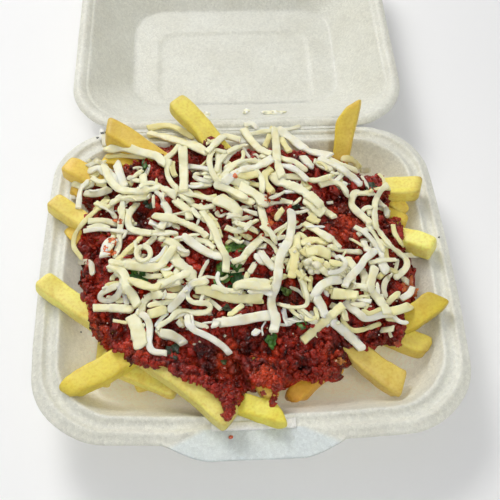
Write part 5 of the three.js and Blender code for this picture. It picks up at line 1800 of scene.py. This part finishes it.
# ------------------------------------------------------------------ what rides on what
for ob, body, slot in [
    (tray_ob, "tray", "foam"), (lid_ob, "lid", "foam"), (core_ob, "tray", "fries"), (shown_ob, "tray", "fries"), (lower_ob, "tray", "fries"),
    (chili_ob, "tray", "beef"), (coarse_ob, "tray", "beef"), (fine_ob, "tray", "beef"), (drip_ob, "tray", "beef"), (cover_ob, "tray", "beef"), (cover_fine, "tray", "beef"), (crumb_ob, "tray", "cheese"),
    (ledge_ob, "tray", "foam"), (lug_ob, "tray", "foam"), (low_ch, "tray", "cheese"), (top_ch, "tray", "cheese"), (fill_ch, "tray", "cheese"), (herb_ob, "tray", "herb"), (sauce_ob, "tray", "sauce"),
]:
    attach(ob, body)
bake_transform(web_ob)
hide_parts("tray")
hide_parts("lid")
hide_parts("fries")
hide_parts("chili_beef")
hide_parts("cheese")

# ------------------------------------------------------------------ floor, light, camera
fm, fnt, fb = material("floor")
fco = object_coords(fnt)
fn = noise_tex(fnt, fco, 3, 2, 0.5)
fnt.links.new(ramp(fnt, fn, [(0.3, (0.955, 0.955, 0.955)), (0.7, (0.98, 0.98, 0.98))]), fb.inputs["Base Color"])
fb.inputs["Roughness"].default_value = 0.9
fb.inputs["Specular IOR Level"].default_value = 0.1
s = 3000.0
floor = make("floor", [[-s, -s, 0], [s, -s, 0], [s, s, 0], [-s, s, 0]], [[0, 1, 2, 3]], fm)

world = bpy.data.worlds.new("studio")
bpy.context.scene.world = world
world.use_nodes = True
bg = world.node_tree.nodes["Background"]
bg.inputs["Color"].default_value = (0.975, 0.985, 1.0, 1)
bg.inputs["Strength"].default_value = 0.46


def area(name, place, target, size, power, colour=(1, 1, 1)):
    l = bpy.data.lights.new(name, "AREA")
    l.shape, l.size, l.size_y = "RECTANGLE", size[0], size[1]
    l.energy, l.color = power, colour
    o = bpy.data.objects.new(name, l)
    o.location = place
    o.rotation_euler = (Vector(target) - Vector(place)).to_track_quat("-Z", "Y").to_euler()
    bpy.context.scene.collection.objects.link(o)
    return o


area("key", (-0.63, 1.13, 1.28), (0.0, 0.08, 0.02), (0.75, 0.75), 17.0, (1.0, 0.985, 0.965))
fill = area("fill", (0.22, -0.75, 1.15), (0.0, -0.04, 0.03), (0.40, 0.40), 0.14, (1.0, 0.99, 0.97))
fill.data.spread = math.radians(20)

cam = bpy.data.cameras.new("camera")
cam.lens, cam.sensor_width = 59.08, 36.0
cam.clip_start, cam.clip_end = 0.01, 20
cam_ob = bpy.data.objects.new("camera", cam)
m = Matrix.Identity(4)
for i in range(3):
    m[i][0], m[i][1], m[i][2], m[i][3] = RIGHT[i], UP[i], -FWD[i], CAM[i] * MM
cam_ob.matrix_world = m
bpy.context.scene.collection.objects.link(cam_ob)
bpy.context.scene.camera = cam_ob
bpy.context.scene.view_settings.view_transform = "Standard"

for ob in [o for o in bpy.context.scene.objects if o.type == "MESH" and len(o.data.polygons) > 3000]:
    ob.data.calc_loop_triangles()
    print("triangles", ob.name, len(ob.data.loop_triangles))
